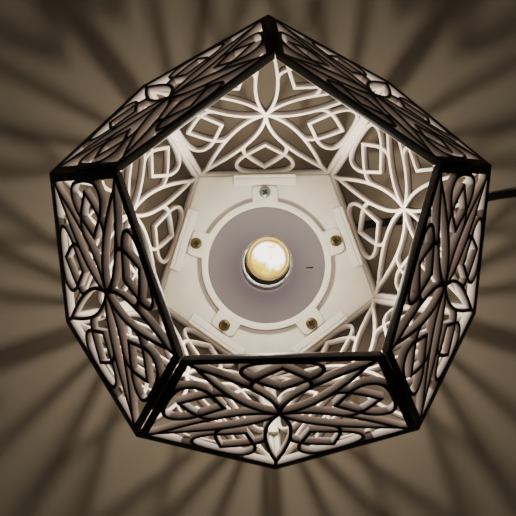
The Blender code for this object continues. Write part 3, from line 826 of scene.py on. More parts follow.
def smooth(item: bpy.types.Object, angle: float = 35.0) -> bpy.types.Object:
    """Shade an object smooth, with edges sharper than an angle kept sharp, and return it.

    Args:
        item: the object.
        angle: the angle, in degrees.

    Returns:
        The object.
    """
    item.data.shade_smooth()
    item.data.set_sharp_from_angle(angle=math.radians(angle))
    return item


def rounded_box(width: float, height: float, corner: float, steps: int = 6) -> Outline:
    """Return the outline of a rectangle with round corners, centred on the origin.

    Args:
        width: its size along X.
        height: its size along Y.
        corner: the corners' radius.
        steps: how many pieces each corner has.

    Returns:
        The outline.
    """
    outline = []
    for quarter, (x, y) in enumerate(((1, 1), (-1, 1), (-1, -1), (1, -1))):
        middle = Vector((x * (width / 2 - corner), y * (height / 2 - corner)))
        for step in range(steps + 1):
            angle = math.pi / 2 * (quarter + step / steps)
            outline.append(middle + corner * Vector((math.cos(angle), math.sin(angle))))
    return outline


def loft(name: str, rings: Sequence[Sequence[Vector]]) -> bpy.types.Object:
    """Skin a row of rings that have equal numbers of points, and close both ends.

    Args:
        name: the object's name.
        rings: the rings, from one end to the other.

    Returns:
        The closed object.
    """
    shape = bmesh.new()
    rows = [[shape.verts.new(point) for point in ring] for ring in rings]
    for first, second in zip(rows, rows[1:]):
        for k in range(len(first)):
            after = (k + 1) % len(first)
            shape.faces.new((first[k], first[after], second[after], second[k]))
    shape.faces.new(rows[0][::-1])
    shape.faces.new(rows[-1])
    return from_bmesh(name, shape)


def link_group(name: str, pieces: Iterable[bpy.types.Object],
               state: str) -> bpy.types.Collection:
    """Return a group of pieces that a light includes or excludes.

    Args:
        name: the group's name.
        pieces: the pieces.
        state: INCLUDE or EXCLUDE.

    Returns:
        The group.
    """
    group = bpy.data.collections.new(name)
    for piece in pieces:
        group.objects.link(piece)
    for member in group.collection_objects:
        member.light_linking.link_state = state
    return group


def finish_piece(item: bpy.types.Object, body: Body, slot: str, *nodes: str) -> bpy.types.Object:
    """Settle a finished piece on its body.

    Args:
        item: the piece, in place.
        body: the body that it rides on.
        slot: the record's material slot of its finish; not used.
        nodes: the solids that it stands for, which are hidden.

    Returns:
        The piece, with its place kept in its mesh.
    """
    if item.type == "MESH":
        bpy.context.view_layer.update()
        item.data.transform(item.matrix_world)
        item.matrix_world = Matrix.Identity(4)
    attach(item, body.value)
    if nodes:
        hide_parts(*nodes)
    LOG.info("%s: made on %s", item.name, body.value)
    return item


# ---- camera, floor and light ----------------------------------------------------------------
@dataclass
class Studio:
    """The camera, the floor and the lights."""

    eye: Triple = (-0.02456, -0.08160, 0.77294)
    looks: Triple = (0.02297, 0.11517, -0.99308)
    upwards: Triple = (0.01943, 0.99310, 0.11563)
    lens: float = 63.13
    floor_half: float = 3.0
    sky: float = 0.016
    sky_colour: Triple = (0.80, 0.77, 0.74)
    soft_power: float = 0.6
    soft_colour: Triple = (1.0, 0.95, 0.88)
    soft_size: float = 1.6
    soft_place: Triple = (-0.35, 0.25, 1.7)

    def camera(self) -> None:
        """Put up the camera."""
        data = bpy.data.cameras.new("camera")
        data.lens = self.lens
        data.clip_start = 0.01
        item = new_object("camera", data)
        back = -Vector(self.looks).normalized()
        right = Vector(self.upwards).cross(back).normalized()
        turn = Matrix((right, back.cross(right), back)).transposed()
        item.matrix_world = Matrix.LocRotScale(Vector(self.eye), turn, None)
        bpy.context.scene.camera = item

    def floor(self) -> None:
        """Lay the floor."""
        shape = bmesh.new()
        half = self.floor_half
        corners = [shape.verts.new((x * half, y * half, 0))
                   for x, y in ((-1, -1), (1, -1), (1, 1), (-1, 1))]
        shape.faces.new(corners)
        dress(from_bmesh("floor", shape), FLOOR)

    def lights(self) -> None:
        """Put up one large soft light and an even grey surrounding."""
        data = bpy.data.lights.new("soft_light", "AREA")
        data.energy = self.soft_power
        data.size = self.soft_size
        data.color = self.soft_colour
        item = new_object("soft_light", data)
        item.location = self.soft_place
        item.rotation_euler = (-item.location).to_track_quat("-Z", "Y").to_euler()
        world = bpy.data.worlds.new("surrounding")
        world.use_nodes = True
        back = world.node_tree.nodes["Background"]
        back.inputs["Color"].default_value = (*self.sky_colour, 1)
        back.inputs["Strength"].default_value = self.sky
        bpy.context.scene.world = world


# ---- mains cord -----------------------------------------------------------------------------
@dataclass
class MainsCord:
    """The cord from the cup to the plug, with its switch and its coil.

    Its route's points before the switch are its lead, and those between the switch and the coil
    its tail. The coil's turns lie in three columns and two rows. The cord shifts to the next
    column or row over the degrees from each of inwards, upwards and outwards.
    """

    radius: float = 0.0035
    exit_azimuth: float = math.radians(22)
    exit_radius: float = 0.0793
    exit_height: float = 0.0064
    floor_height: float = 0.00355
    row_rise: float = 0.00705
    coil_centre: Pair = (0.276, -0.008)
    columns: tuple[float, float, float] = (0.04575, 0.0385, 0.03125)
    coil_step: int = 15
    coil_end: int = 1800
    shift: float = 120.0
    inwards: tuple[int, int] = (240, 600)
    upwards: int = 860
    outwards: tuple[int, int] = (1180, 1540)
    plug_axis: float = 0.0071
    plug_end: float = -0.0415
    switch_centre: Pair = (0.26585, 0.0648)
    switch_heading: float = math.radians(6)
    length: float = 1.56
    lead: tuple[Triple, ...] = (
        (0.0812, 0.0325, 0.00620),
        (0.0890, 0.0346, 0.00530),
        (0.0975, 0.0358, 0.00430),
        (0.1080, 0.0368, 0.00365),
        (0.1190, 0.0382, 0.00355),
        (0.1350, 0.0420, 0.00355),
        (0.1520, 0.0466, 0.00355),
        (0.1700, 0.0513, 0.00355),
        (0.1870, 0.0553, 0.00355),
        (0.2020, 0.0579, 0.00370),
        (0.2140, 0.0593, 0.00470),
        (0.2250, 0.0605, 0.00650),
        (0.2357, 0.0616, 0.00735),
    )
    tail: tuple[Triple, ...] = (
        (0.2960, 0.0680, 0.00735),
        (0.3040, 0.0684, 0.00680),
        (0.3125, 0.0664, 0.00540),
        (0.3200, 0.0615, 0.00400),
        (0.3255, 0.0540, 0.00360),
        (0.3285, 0.0450, 0.00355),
        (0.3293, 0.0350, 0.00355),
        (0.3281, 0.0242, 0.00355),
        (0.3255, 0.0135, 0.00355),
        (0.3229, 0.0028, 0.00355),
    )

    def exit(self, outwards: float = 0.0) -> Vector:
        """Return the middle of the strain relief's tip, or a point further out than it.

        Args:
            outwards: how much further out, in metres.

        Returns:
            The point.
        """
        reach = self.exit_radius + outwards
        return Vector((reach * math.cos(self.exit_azimuth),
                       reach * math.sin(self.exit_azimuth), self.exit_height))

    def stage(self, turned: float, start: float) -> float:
        """Return how far a smooth shift that starts at an angle has come, from 0 to 1."""
        t = min(1.0, max(0.0, (turned - start) / self.shift))
        return t * t * (3 - 2 * t)

    def coil_point(self, turned: float) -> Vector:
        """Return the coil's centre line after a number of degrees, wound clockwise.

        Args:
            turned: how far it has been wound, in degrees.

        Returns:
            The point.
        """
        outer = self.columns[0]
        pitch = outer - self.columns[1]
        radius = outer - pitch * sum(self.stage(turned, start) for start in self.inwards)
        radius += pitch * sum(self.stage(turned, start) for start in self.outwards)
        height = self.floor_height + self.row_rise * self.stage(turned, self.upwards)
        angle = -math.radians(turned)
        return Vector((self.coil_centre[0] + radius * math.cos(angle),
                       self.coil_centre[1] + radius * math.sin(angle), height))

    def inside_switch(self) -> list[Vector]:
        """Return the points that dip under the rocker inside the switch's case.

        Returns:
            The points, from the cup's side to the plug's.
        """
        along = Vector((math.cos(self.switch_heading), math.sin(self.switch_heading), 0))
        middle = Vector((*self.switch_centre, 0))
        return [middle + along * reach + UP * height
                for reach, height in ((-0.020, 0.0070), (-0.009, 0.0061), (0, 0.0060),
                                      (0.009, 0.0061), (0.020, 0.0070))]

    def route(self) -> list[Vector]:
        """Return every point of the cord's centre line, from the cup to the plug.

        Returns:
            The points.
        """
        line = [self.exit()] + [Vector(p) for p in self.lead]
        line += self.inside_switch() + [Vector(p) for p in self.tail]
        line += [self.coil_point(turned) for turned in range(0, self.coil_end + 1, self.coil_step)]
        x = line[-1].x
        top = line[-1].z
        drop_start = -0.018
        for y in (-0.013, -0.018, -0.0236, -0.030, -0.0365, self.plug_end):
            t = min(1.0, max(0.0, (y - drop_start) / (self.plug_end - drop_start)))
            line.append(Vector((x, y, top + (self.plug_axis - top) * t * t * (3 - 2 * t))))
        return line

    def build(self) -> bpy.types.Object:
        """Build the cord as one curve.

        Returns:
            The finished piece.
        """
        curve = bpy.data.curves.new("mains_cord", "CURVE")
        curve.dimensions = "3D"
        curve.bevel_depth = self.radius
        curve.bevel_resolution = 6
        curve.resolution_u = 4
        curve.use_fill_caps = True
        line = self.route()
        spline = curve.splines.new("BEZIER")
        spline.bezier_points.add(len(line) - 1)
        for point, place in zip(spline.bezier_points, line):
            point.co = place
            point.handle_left_type = point.handle_right_type = "AUTO"
        item = dress(new_object("mains_cord", curve), SHEATH)
        return finish_piece(item, Body.LAMP, "cord_rubber", "cord_lead", "cord_tail",
                            "cord_coil")

    def tie(self) -> bpy.types.Object:
        """Build the strap that holds the coil's turns together.

        Returns:
            The finished piece.
        """
        band = 0.0008
        width = self.columns[0] - self.columns[2] + 2 * self.radius + 2 * band
        height = self.row_rise + 2 * self.radius + 2 * band - 0.0006
        outer = rounded_box(width, height, 0.0036)
        inner = rounded_box(width - 2 * band, height - 2 * band, 0.0030)
        item = new_object("cord_tie", outline_solid("cord_tie", (outer, inner), 0.011))
        flat = Vector((math.cos(math.radians(200)), math.sin(math.radians(200)), 0))
        origin = Vector((*self.coil_centre, height / 2 + 0.00005)) + flat * self.columns[1]
        stand(smooth(rounded(dress(item, TIE), 0.0002)), origin, flat, UP)
        return finish_piece(item, Body.LAMP, "cord_rubber")

    def relief(self) -> bpy.types.Object:
        """Build the ribbed, tapered strain relief that the cord leaves the cup through.

        Returns:
            The finished piece.
        """
        face, flange, tip = 0.0003, 0.0028, 0.0248
        profile = [(self.radius * 0.99, tip), (self.radius * 1.12, tip - 0.0004)]
        ribs = 7
        for rib in range(ribs):
            top = tip - 0.0020 - rib * 0.0026
            thick = self.radius * (1.12 + 0.05 * rib / ribs)
            swell = thick + 0.00028
            profile += [(thick, top), (swell, top - 0.0003), (swell, top - 0.0012),
                        (thick, top - 0.0015)]
        profile += [(0.0045, flange + 0.0006), (0.0051, flange), (0.0051, face),
                    (0.0041, face), (0.0041, -0.0070), (0, -0.0070)]
        item = lathe("strain_relief_boot", [(0, tip)] + softened(profile, 0.00025, 2), 48)
        flat = Vector((math.cos(self.exit_azimuth), math.sin(self.exit_azimuth), 0))
        origin = flat * (self.exit_radius - tip) + UP * self.exit_height
        stand(dress(item, BLACK), origin, UP.cross(flat), UP)
        return finish_piece(item, Body.LAMP, "cord_rubber", "strain_relief")


@dataclass
class InlineSwitch:
    """The switch on the cord: a two-part case and a rocker."""

    cord: MainsCord
    half_length: float = 0.0300
    width: float = 0.0260
    top: float = 0.01505
    floor_gap: float = 0.00005
    seam_height: float = 0.0072
    seam_width: float = 0.0005
    seam_bottom: Pair = (0.0524, 0.0254)
    pocket: Pair = (0.0164, 0.0100)
    pocket_floor: float = 0.00995
    pocket_cut: float = 0.0062

    def section(self, reach: float, width: float, low: float, high: float,
                corner: float) -> list[Vector]:
        """Return one ring of the case, across the cord at a distance from its middle.

        Args:
            reach: how far the ring is from the switch's middle.
            width: the ring's width.
            low: the height of its underside.
            high: the height of its top.
            corner: its corners' radius.

        Returns:
            The ring's points.
        """
        outline = rounded_box(width, high - low, corner, 8)
        return [Vector((reach, p.x, p.y + (low + high) / 2)) for p in outline]

    def case(self) -> bpy.types.Object:
        """Build the case, with its collars, its seam and the pocket for the rocker.

        Returns:
            The finished piece.
        """
        low, high = self.floor_gap, self.top
        half = self.half_length
        # Each is the distance from the middle, width, underside, top and corner radius.
        stations = (
            (half, 0.0104, 0.0028, 0.0126, 0.0040),
            (half - 0.0003, 0.0112, 0.0024, 0.0130, 0.0042),
            (half - 0.0032, 0.0116, 0.0022, 0.0132, 0.0042),
            (half - 0.0034, 0.0170, low + 0.0008, high - 0.0012, 0.0040),
            (half - 0.0050, 0.0216, low + 0.0002, high - 0.0003, 0.0036),
            (half - 0.0080, 0.0246, low, high, 0.0034),
            (half - 0.0120, 0.0258, low, high, 0.0032),
            (0.0, self.width, low, high, 0.0032),
        )
        rings = [self.section(-reach, *rest) for reach, *rest in stations]
        rings += [self.section(reach, *rest) for reach, *rest in reversed(stations[:-1])]
        item = loft("inline_switch_case", rings)
        outside = rounded_box(3 * half, 2 * half, 0.004)
        bottom = rounded_box(*self.seam_bottom, 0.0085, 12)
        carved(item, cutter("seam", (outside, bottom), self.seam_width,
                            (0, 0, self.seam_height)))
        carved(item, cutter("pocket", (rounded_box(*self.pocket, 0.0008),), self.pocket_cut,
                            (0, 0, self.pocket_floor + self.pocket_cut / 2)))
        smooth(rounded(item, 0.0003), 30)
        along = Vector((math.cos(self.cord.switch_heading),
                        math.sin(self.cord.switch_heading), 0))
        stand(dress(item, BLACK), (*self.cord.switch_centre, 0), along, UP.cross(along))
        return finish_piece(item, Body.LAMP, "black_plastic", "switch_case")

    def rocker(self) -> bpy.types.Object:
        """Build the rocker."""
        item = softened_copy("switch_rocker", "rocker_button", ROCKER, 0.0004)
        return finish_piece(item, Body.ROCKER, "black_plastic", "switch_rocker")


@dataclass
class MainsPlug:
    """A flat two-pin plug with a ribbed boot, lying on its broad side."""

    x: float = 0.32175
    entry: float = -0.0365
    height: float = 0.0071
    boot: float = 0.0220
    body: float = 0.0340
    thickness: float = 0.0136
    pin_length: float = 0.0190
    spacing: float = 0.0186
    grip_start: float = 0.30
    grip_ribs: int = 6
    grip_pitch: float = 0.0022
    grip_side: float = 0.0131
    boot_rings: int = 6
    boot_pitch: float = 0.0032

    def build(self) -> list[bpy.types.Object]:
        """Build the plug and its pins, and return all three.

        Returns:
            The plug, then its pins.
        """
        start = Vector((self.x, self.entry, self.height))
        ahead = Vector((0, -1, 0))
        across = UP.cross(ahead)
        item = self.body_piece()
        stand(item, start, ahead, across)
        pieces = [finish_piece(item, Body.LAMP, "black_plastic", "plug")]
        for side in (-1, 1):
            pin = self.pin(side)
            stand(pin, start + across * side * self.spacing / 2, UP, across * -1)
            pieces.append(finish_piece(pin, Body.LAMP, "nickel"))
        return pieces

    def body_piece(self) -> bpy.types.Object:
        """Build the moulded body and its boot, pointing along X.

        Returns:
            The body, not yet in place.
        """
        back = self.boot
        # Each is the share of the length, the width and the share of the thickness.
        stations = ((0.0, 0.0150, 0.70), (0.0006, 0.0162, 0.80), (0.25, 0.0225, 0.97),
                    (0.42, 0.0264, 1.0), (0.60, 0.0268, 1.0), (0.80, 0.0238, 0.99),
                    (0.96, 0.0212, 0.97), (0.99, 0.0204, 0.93), (1.0, 0.0194, 0.88))
        rings = []
        for share, width, fullness in stations:
            tall = self.thickness * fullness
            outline = rounded_box(width, tall, tall * 0.32, 8)
            rings.append([Vector((back + share * self.body, p.x, p.y)) for p in outline])
        item = loft("mains_plug", rings)
        groove = rounded_box(0.0008, 0.0012, 0.0003)
        for rib in range(self.grip_ribs):
            reach = back + self.grip_start * self.body + rib * self.grip_pitch
            for side in (-1, 1):
                carved(item, cutter("rib", (groove,), 0.009, (reach, side * self.grip_side, 0)))
        profile = [(0.0036, 0.0), (0.0041, 0.0003)]
        for ring in range(self.boot_rings):
            low = 0.0020 + ring * self.boot_pitch
            thick = 0.0042 + 0.0010 * ring / self.boot_rings
            profile += [(thick, low), (thick + 0.0004, low + 0.0003),
                        (thick + 0.0004, low + 0.0019), (thick, low + 0.0022)]
        profile += [(0.0054, back + 0.0010), (0, back + 0.0010)]
        tool = lathe("boot", [(0, 0.0)] + softened(profile, 0.00025, 2), 48)
        tool.matrix_world = Matrix.Rotation(math.pi / 2, 4, "Y")
        carved(item, tool, "UNION")
        return smooth(dress(item, BLACK), 30)

    def pin(self, side: int) -> bpy.types.Object:
        """Build one pin, whose inner half has a plastic sleeve.

        Args:
            side: -1 for the left pin and 1 for the right one.

        Returns:
            The pin, not yet in place.
        """
        low = self.boot + self.body - 0.001
        top = low + 0.001 + self.pin_length
        name = "plug_pin_left" if side < 0 else "plug_pin_right"
        profile = [(0, top), (0.0009, top), (0.0017, top - 0.0005), (0.0020, top - 0.0016),
                   (0.0020, low + 0.0100), (0.0019, low + 0.0098), (0.0019, low), (0, low)]
        item = dress(lathe(name, softened(profile, 0.0002, 2), 32), NICKEL, BLACK)
        for face in item.data.polygons:
            face.material_index = int(face.center.z < low + 0.0099)
        return item


# ---- the lantern ----------------------------------------------------------------------------
def bezier(controls: Sequence[Sequence[float]], steps: int) -> Outline:
    """Return points on a Bezier curve of any degree, both ends included.

    Args:
        controls: its control points.
        steps: how many pieces it has.

    Returns:
        The points.
    """
    line = []
    for k in range(steps + 1):
        row = [Vector(p) for p in controls]
        while len(row) > 1:
            row = [a.lerp(b, k / steps) for a, b in zip(row, row[1:])]
        line.append(row[0])
    return line


def offset(line: Outline, distance: float) -> Outline:
    """Return the line moved sideways to its left, with its corners kept sharp.

    Args:
        line: the line.
        distance: how far it is moved.

    Returns:
        The moved line.
    """
    moved = []
    for k, point in enumerate(line):
        before = (point - line[k - 1]).normalized() if k else None
        after = (line[k + 1] - point).normalized() if k + 1 < len(line) else None
        before = before or after
        after = after or before
        middle = Vector((-before.y - after.y, before.x + after.x))
        moved.append(point + middle * (2 * distance / middle.length_squared))
    return moved


def crossing(first: Outline, second: Outline, start: float) -> tuple[float, float, Vector]:
    """Find where one line next meets another.

    Args:
        first: the line that is followed.
        second: the line that it meets.
        start: the place on the first line where the search starts.

    Returns:
        The places on both lines, and the point.
    """
    for i in range(int(start), len(first) - 1):
        a, b = first[i], first[i + 1]
        hits = []
        for j, (c, d) in enumerate(zip(second, second[1:])):
            scale = (b - a).cross(d - c)
            if abs(scale) < 1e-12:
                continue
            s = (c - a).cross(d - c) / scale
            t = (c - a).cross(b - a) / scale
            if 0 <= s <= 1 and 0 <= t <= 1 and i + s > start + 1e-6:
                hits.append((i + s, j + t, a.lerp(b, s)))
        if hits:
            return min(hits, key=lambda hit: hit[0])
    raise ValueError("two struts that should cross don't meet")


def chain(lines: Sequence[Outline]) -> Outline:
    """Return one path along each line in turn, changing where a line meets the next.

    Args:
        lines: the lines, the last of which may be the first again.

    Returns:
        The path, without its closing point.
    """
    path = []
    here = 0.0
    first_leave = 0.0
    for line, following in zip(lines, lines[1:]):
        leave, arrive, point = crossing(line, following, here)
        if path:
            path += line[math.floor(here) + 1:math.ceil(leave)]
        else:
            first_leave = leave
        path.append(point)
        here = arrive
    if lines[0] is lines[-1]:
        path += lines[0][math.floor(here) + 1:math.ceil(first_leave)]
    return path


def mirrored(half: Outline) -> Outline:
    """Return a closed outline from its right half, which starts and ends on the middle line."""
    return half + [Vector((-p.x, p.y)) for p in reversed(half[1:-1])]


def with_reflections(line: Outline) -> Outline:
    """Return the line with one more point at each end, mirrored across the middle line.

    Args:
        line: the line, whose ends are on the middle line.

    Returns:
        The longer line.
    """
    start = Vector((-line[1].x, line[1].y))
    end = Vector((-line[-2].x, line[-2].y))
    return [start] + line + [end]


def turn_point(point: Vector, angle: float) -> Vector:
    """Return a plane point turned about the origin."""
    c, s = math.cos(angle), math.sin(angle)
    return Vector((c * point.x - s * point.y, s * point.x + c * point.y))


@dataclass
class Lantern:
    """Ten lattice panels and the clips and wedges that hold them."""

    edge: float = 0.115
    foot: float = 0.012
    thickness: float = 0.005
    lower_gap: float = 0.00015
    upper_gap: float = 0.00045
    strut: float = 0.0025
    frame_inset: float = 0.0064
    soft: float = 0.0003
    skin: float = 0.0007
    sides: int = 5
    petal: tuple[Pair, ...] = ((0, 0), (-0.080, 0.12), (-0.115, 0.30), (0, 0.72))
    loop_peak: Pair = (0, 0.315)
    shoulder: tuple[Pair, ...] = ((0.125, 0.415), (0.192, 0.463), (0.207, 0.530))
    corner: tuple[Pair, ...] = ((0.207, 0.530), (0.209, 0.622), (0.110, 0.628), (0, 0.629))
    shield: tuple[Pair, ...] = ((0.135, 0.310), (0.200, 0.390), (0.100, 0.470), (0, 0.565))
    curve_steps: int = 14
    wedge_half: float = 0.0264
    wedge_groove: Pair = (0.0738, 0.0201)
    tab_reach: float = 0.0705
    tab_height: float = 0.0178

    def __post_init__(self) -> None:
        """Work out the sizes that follow from the edge."""
        self.step = 2 * math.pi / self.sides
        self.apothem = 0.5 / math.tan(math.pi / self.sides)
        self.half_dihedral = math.atan((1 + math.sqrt(5)) / 2)
        self.inradius = self.apothem * math.tan(self.half_dihedral)
        self.tilt = math.pi - 2 * self.half_dihedral
        self.true_edge = self.apothem * self.edge
        self.plate_edge = self.true_edge - self.lower_gap
        self.mitre = self.thickness / math.tan(self.half_dihedral)
        self.centre = self.foot + self.inradius * self.edge

    def scaled(self, points: Iterable[Sequence[float]]) -> Outline:
        """Return points given per unit of edge, in metres."""
        return [Vector(p) * self.edge for p in points]

    def holes(self) -> list[Outline]:
        """Return the openings of one fifth of a panel, as (sideways, outwards) outlines.

        Returns:
            The outlines.
        """
        half = self.strut / 2 - self.soft
        reach = self.edge
        middle = [Vector((0, 0)), Vector((0, reach))]
        back = middle[::-1]
        turned = -math.pi / self.sides
        side = bezier(self.scaled(self.petal), self.curve_steps) + [Vector((0, reach))]
        petal = mirrored(chain([middle, offset(side, -half), back]))
        petal = [turn_point(p, turned) for p in petal]
        stroke = offset([turn_point(p, turned) for p in side], half)
        shoulder = bezier(self.scaled(self.shoulder), self.curve_steps)
        corner = bezier(self.scaled(self.corner), self.curve_steps)
        loop = with_reflections(self.scaled((self.loop_peak,)) + shoulder + corner[1:])
        loop_inside = offset(loop, half)
        loop_outside = offset(loop, -half)[::-1]
        shield = bezier(self.scaled(self.shield), self.curve_steps)
        root = shield[0] + (shield[0] - shield[1]).normalized() * 2 * self.strut
        shield = [root] + with_reflections(shield)[1:]
        shield_inside = offset(shield, half)
        shield_outside = offset(shield, -half)[::-1]
        frame = self.true_edge - self.frame_inset + self.soft
        sill = [Vector((reach, frame)), Vector((-reach, frame))]
        kite = chain([middle, stroke, shield_inside, loop_outside, back])
        diamond = chain([middle, loop_inside, shield_inside, back])
        lobe = chain([middle, shield_outside, loop_inside, back])
        right = chain([stroke, sill, loop_outside, shield_outside, stroke])
        left = [Vector((-p.x, p.y)) for p in reversed(right)]
        return [petal, mirrored(kite), mirrored(diamond), mirrored(lobe), right, left]

    def pentagon(self, apothem: float) -> Outline:
        """Return a pentagon's corners, with one side towards -Y.

        Args:
            apothem: how far its sides are from its middle.

        Returns:
            The corners.
        """
        radius = apothem / math.cos(math.pi / self.sides)
        angles = [math.radians(-126) + self.step * k for k in range(self.sides)]
        return [Vector((radius * math.cos(a), radius * math.sin(a))) for a in angles]

    def mitred(self, mesh: bpy.types.Mesh, apothem: float) -> None:
        """Lower a centred plate under height 0 and lean its sides in towards its inner face.

        Args:
            mesh: the plate's mesh.
            apothem: its outer apothem.
        """
        limit = apothem / math.cos(math.pi / self.sides) * 0.98
        for vertex in mesh.vertices:
            vertex.co.z -= self.thickness / 2
            if math.hypot(vertex.co.x, vertex.co.y) > limit:
                lean = 1 + self.mitre / apothem * vertex.co.z / self.thickness
                vertex.co.x *= lean
                vertex.co.y *= lean

    def panel_mesh(self, gap: float) -> bpy.types.Mesh:
        """Build the mesh that panels of one kind use; its outer face is at height 0.

        Args:
            gap: how far the panel's outer sides stand back from the true edge lines.

        Returns:
            The mesh, with the walls' finish, a black finish on its outer face and on its mitred
            sides (there as painted shade), and a dimmed copy of the white print on its inner face
            as painted shade.
        """
        edge = self.true_edge - gap
        outlines = [self.pentagon(edge - self.soft)]
        for k in range(self.sides):
            outlines += [[turn_point(p, math.pi + self.step * k) for p in hole]
                         for hole in self.holes()]
        mesh = outline_solid("lattice_panel", outlines, self.thickness, self.soft)
        self.split_skin(mesh)
        self.mitred(mesh, edge)
        for finish in (LATTICE, BLACK_OUTSIDE, INNER_PAINTED_SHADE):
            mesh.materials.append(finish.material())
        skin, inside = 1, 2
        facing = level_ring(1, 0, self.sides)
        facing = [Matrix.Rotation(-math.pi / 2, 3, "Z") @ way for way in facing]
        # The outer face gets the black finish and the mitred sides get it too, as painted shade;
        # the inner face gets the dimmed inner finish, also painted shade.
        for face in mesh.polygons:
            out = max(face.center.dot(way) for way in facing)
            side = out > edge - self.mitre - self.soft and abs(face.normal.z) < 0.9
            if face.center.z < self.soft * 0.9 - self.thickness:
                face.material_index = inside
            elif side or face.center.z > -self.skin:
                face.material_index = skin
        # The depth below the outer face, from 0 to 1, which the lattice finish reads for its
        # painted shade.
        depth = mesh.attributes.new("depth", "FLOAT", "POINT")
        for vertex in mesh.vertices:
            depth.data[vertex.index].value = -vertex.co.z / self.thickness
        mesh.shade_smooth()
        mesh.set_sharp_from_angle(angle=math.radians(50))
        return mesh

    def split_skin(self, mesh: bpy.types.Mesh) -> None:
        """Cut the walls of a panel all round where its black outer band ends.

        Args:
            mesh: the panel's mesh, centred on height 0.
        """
        shape = bmesh.new()
        shape.from_mesh(mesh)
        geometry = shape.verts[:] + shape.edges[:] + shape.faces[:]
        bmesh.ops.bisect_plane(shape, geom=geometry, dist=0.000001,
                               plane_co=(0, 0, self.thickness / 2 - self.skin),
                               plane_no=(0, 0, 1))
        shape.to_mesh(mesh)
        shape.free()

    def place(self, item: bpy.types.Object, azimuth: float, rise: int) -> None:
        """Put a panel on the lower (rise 1) or upper (rise -1) face that looks one way.

        Args:
            item: the panel.
            azimuth: the direction that its face looks in, seen from above.
            rise: 1 for the lower row and -1 for the upper one.
        """
        flat = Vector((math.cos(azimuth), math.sin(azimuth), 0))
        normal = flat * math.sin(self.tilt) - UP * rise * math.cos(self.tilt)
        slope = flat * math.cos(self.tilt) + UP * rise * math.sin(self.tilt)
        centre = UP * self.centre + normal * self.inradius * self.edge
        stand(item, centre, slope.cross(normal), slope)

    def panels(self) -> None:
        """Build the ten panels."""
        lower = self.panel_mesh(self.lower_gap)
        upper = self.panel_mesh(self.upper_gap)
        for k in range(self.sides):
            side = math.pi / 2 + self.step * k
            for kind, mesh, azimuth, rise in (("lower", lower, side, 1),
                                              ("upper", upper, side + self.step / 2, -1)):
                item = new_object(f"{kind}_lattice_{k + 1}", mesh.copy())
                self.place(item, azimuth, rise)
                finish_piece(item, Body.LAMP, "white_plastic", f"{kind}_panel_{k + 1}")

    def clips(self) -> list[bpy.types.Object]:
        """Build the clips in the joints and the wedges, and return the wedges.

        Returns:
            The wedges.
        """
        wedges = []
        counts = (("base_wedge", self.sides, 0.0007), ("lower_clip", self.sides, 0.0004),
                  ("belt_clip", 2 * self.sides, 0.0004), ("upper_clip", self.sides, 0.0004))
        for kind, count, soft in counts:
            for k in range(1, count + 1):
                # The clips take the dimmed copy of the white print as painted shade; the wedges
                # take the plain white.
                finish = WHITE if kind == "base_wedge" else CLIP_PAINTED_SHADE
                item = softened_copy(f"{kind}_{k}", f"{kind}_piece_{k}", finish, soft)
                if kind == "base_wedge":
                    self.wedge_details(item, k)
                    wedges.append(item)
                finish_piece(item, Body.LAMP, "white_plastic", f"{kind}_{k}")
                if kind == "lower_clip":
                    self.clip_screw(k)
        return wedges

    def wedge_details(self, wedge: bpy.types.Object, number: int) -> None:
        """Cut the long groove into a wedge's top and add the small tab at each of its ends.

        Args:
            wedge: the wedge.
            number: its number, from 1.
        """
        azimuth = math.pi / 2 + self.step * (number - 1)
        out = Vector((math.cos(azimuth), math.sin(azimuth), 0))
        along = UP.cross(out)
        low, high = self.wedge_groove
        groove = outline_solid("groove", (rounded_box(self.wedge_half * 1.9, 0.0006, 0.0002),),
                               0.0016)
        tool = stand(new_object("groove", groove), out * low + UP * high, along, -out)
        carved(wedge, tool)
        tab = outline_solid("tab", (rounded_box(0.0016, 0.0040, 0.0003),), 0.0011)
        for side in (-1, 1):
            place = out * self.tab_reach + along * side * self.wedge_half + UP * self.tab_height
            carved(wedge, stand(new_object("tab", tab.copy()), place, along, -out), "UNION")
        smooth(dress(wedge, WHITE))

    def clip_screw(self, number: int) -> None:
        """Set a small screw with a dark ring round it into the middle of a lower clip.

        Args:
            number: the clip's number, from 1.
        """
        middle = middle_of(f"lower_clip_{number}")
        inwards = (UP * self.centre - middle).normalized()
        profile = [(0, 0.0009), (0.0009, 0.0008), (0.0015, 0.0004), (0.0017, 0.0), (0.0017, -0.001),
                   (0, -0.001)]
        screw = lathe(f"clip_screw_{number}", softened(profile, 0.0002, 2), 32)
        ring = lathe(f"clip_screw_ring_{number}", [
            (0.0024, 0.0), (0.0024, 0.0003), (0.0018, 0.0003), (0.0018, 0.0)], 32, closed=True)
        side = UP.cross(inwards).normalized()
        for piece, finish in ((screw, ZINC), (ring, BLACK)):
            stand(dress(piece, finish), middle + inwards * 0.0006, side, inwards.cross(side))
            finish_piece(piece, Body.LAMP, "zinc_steel")


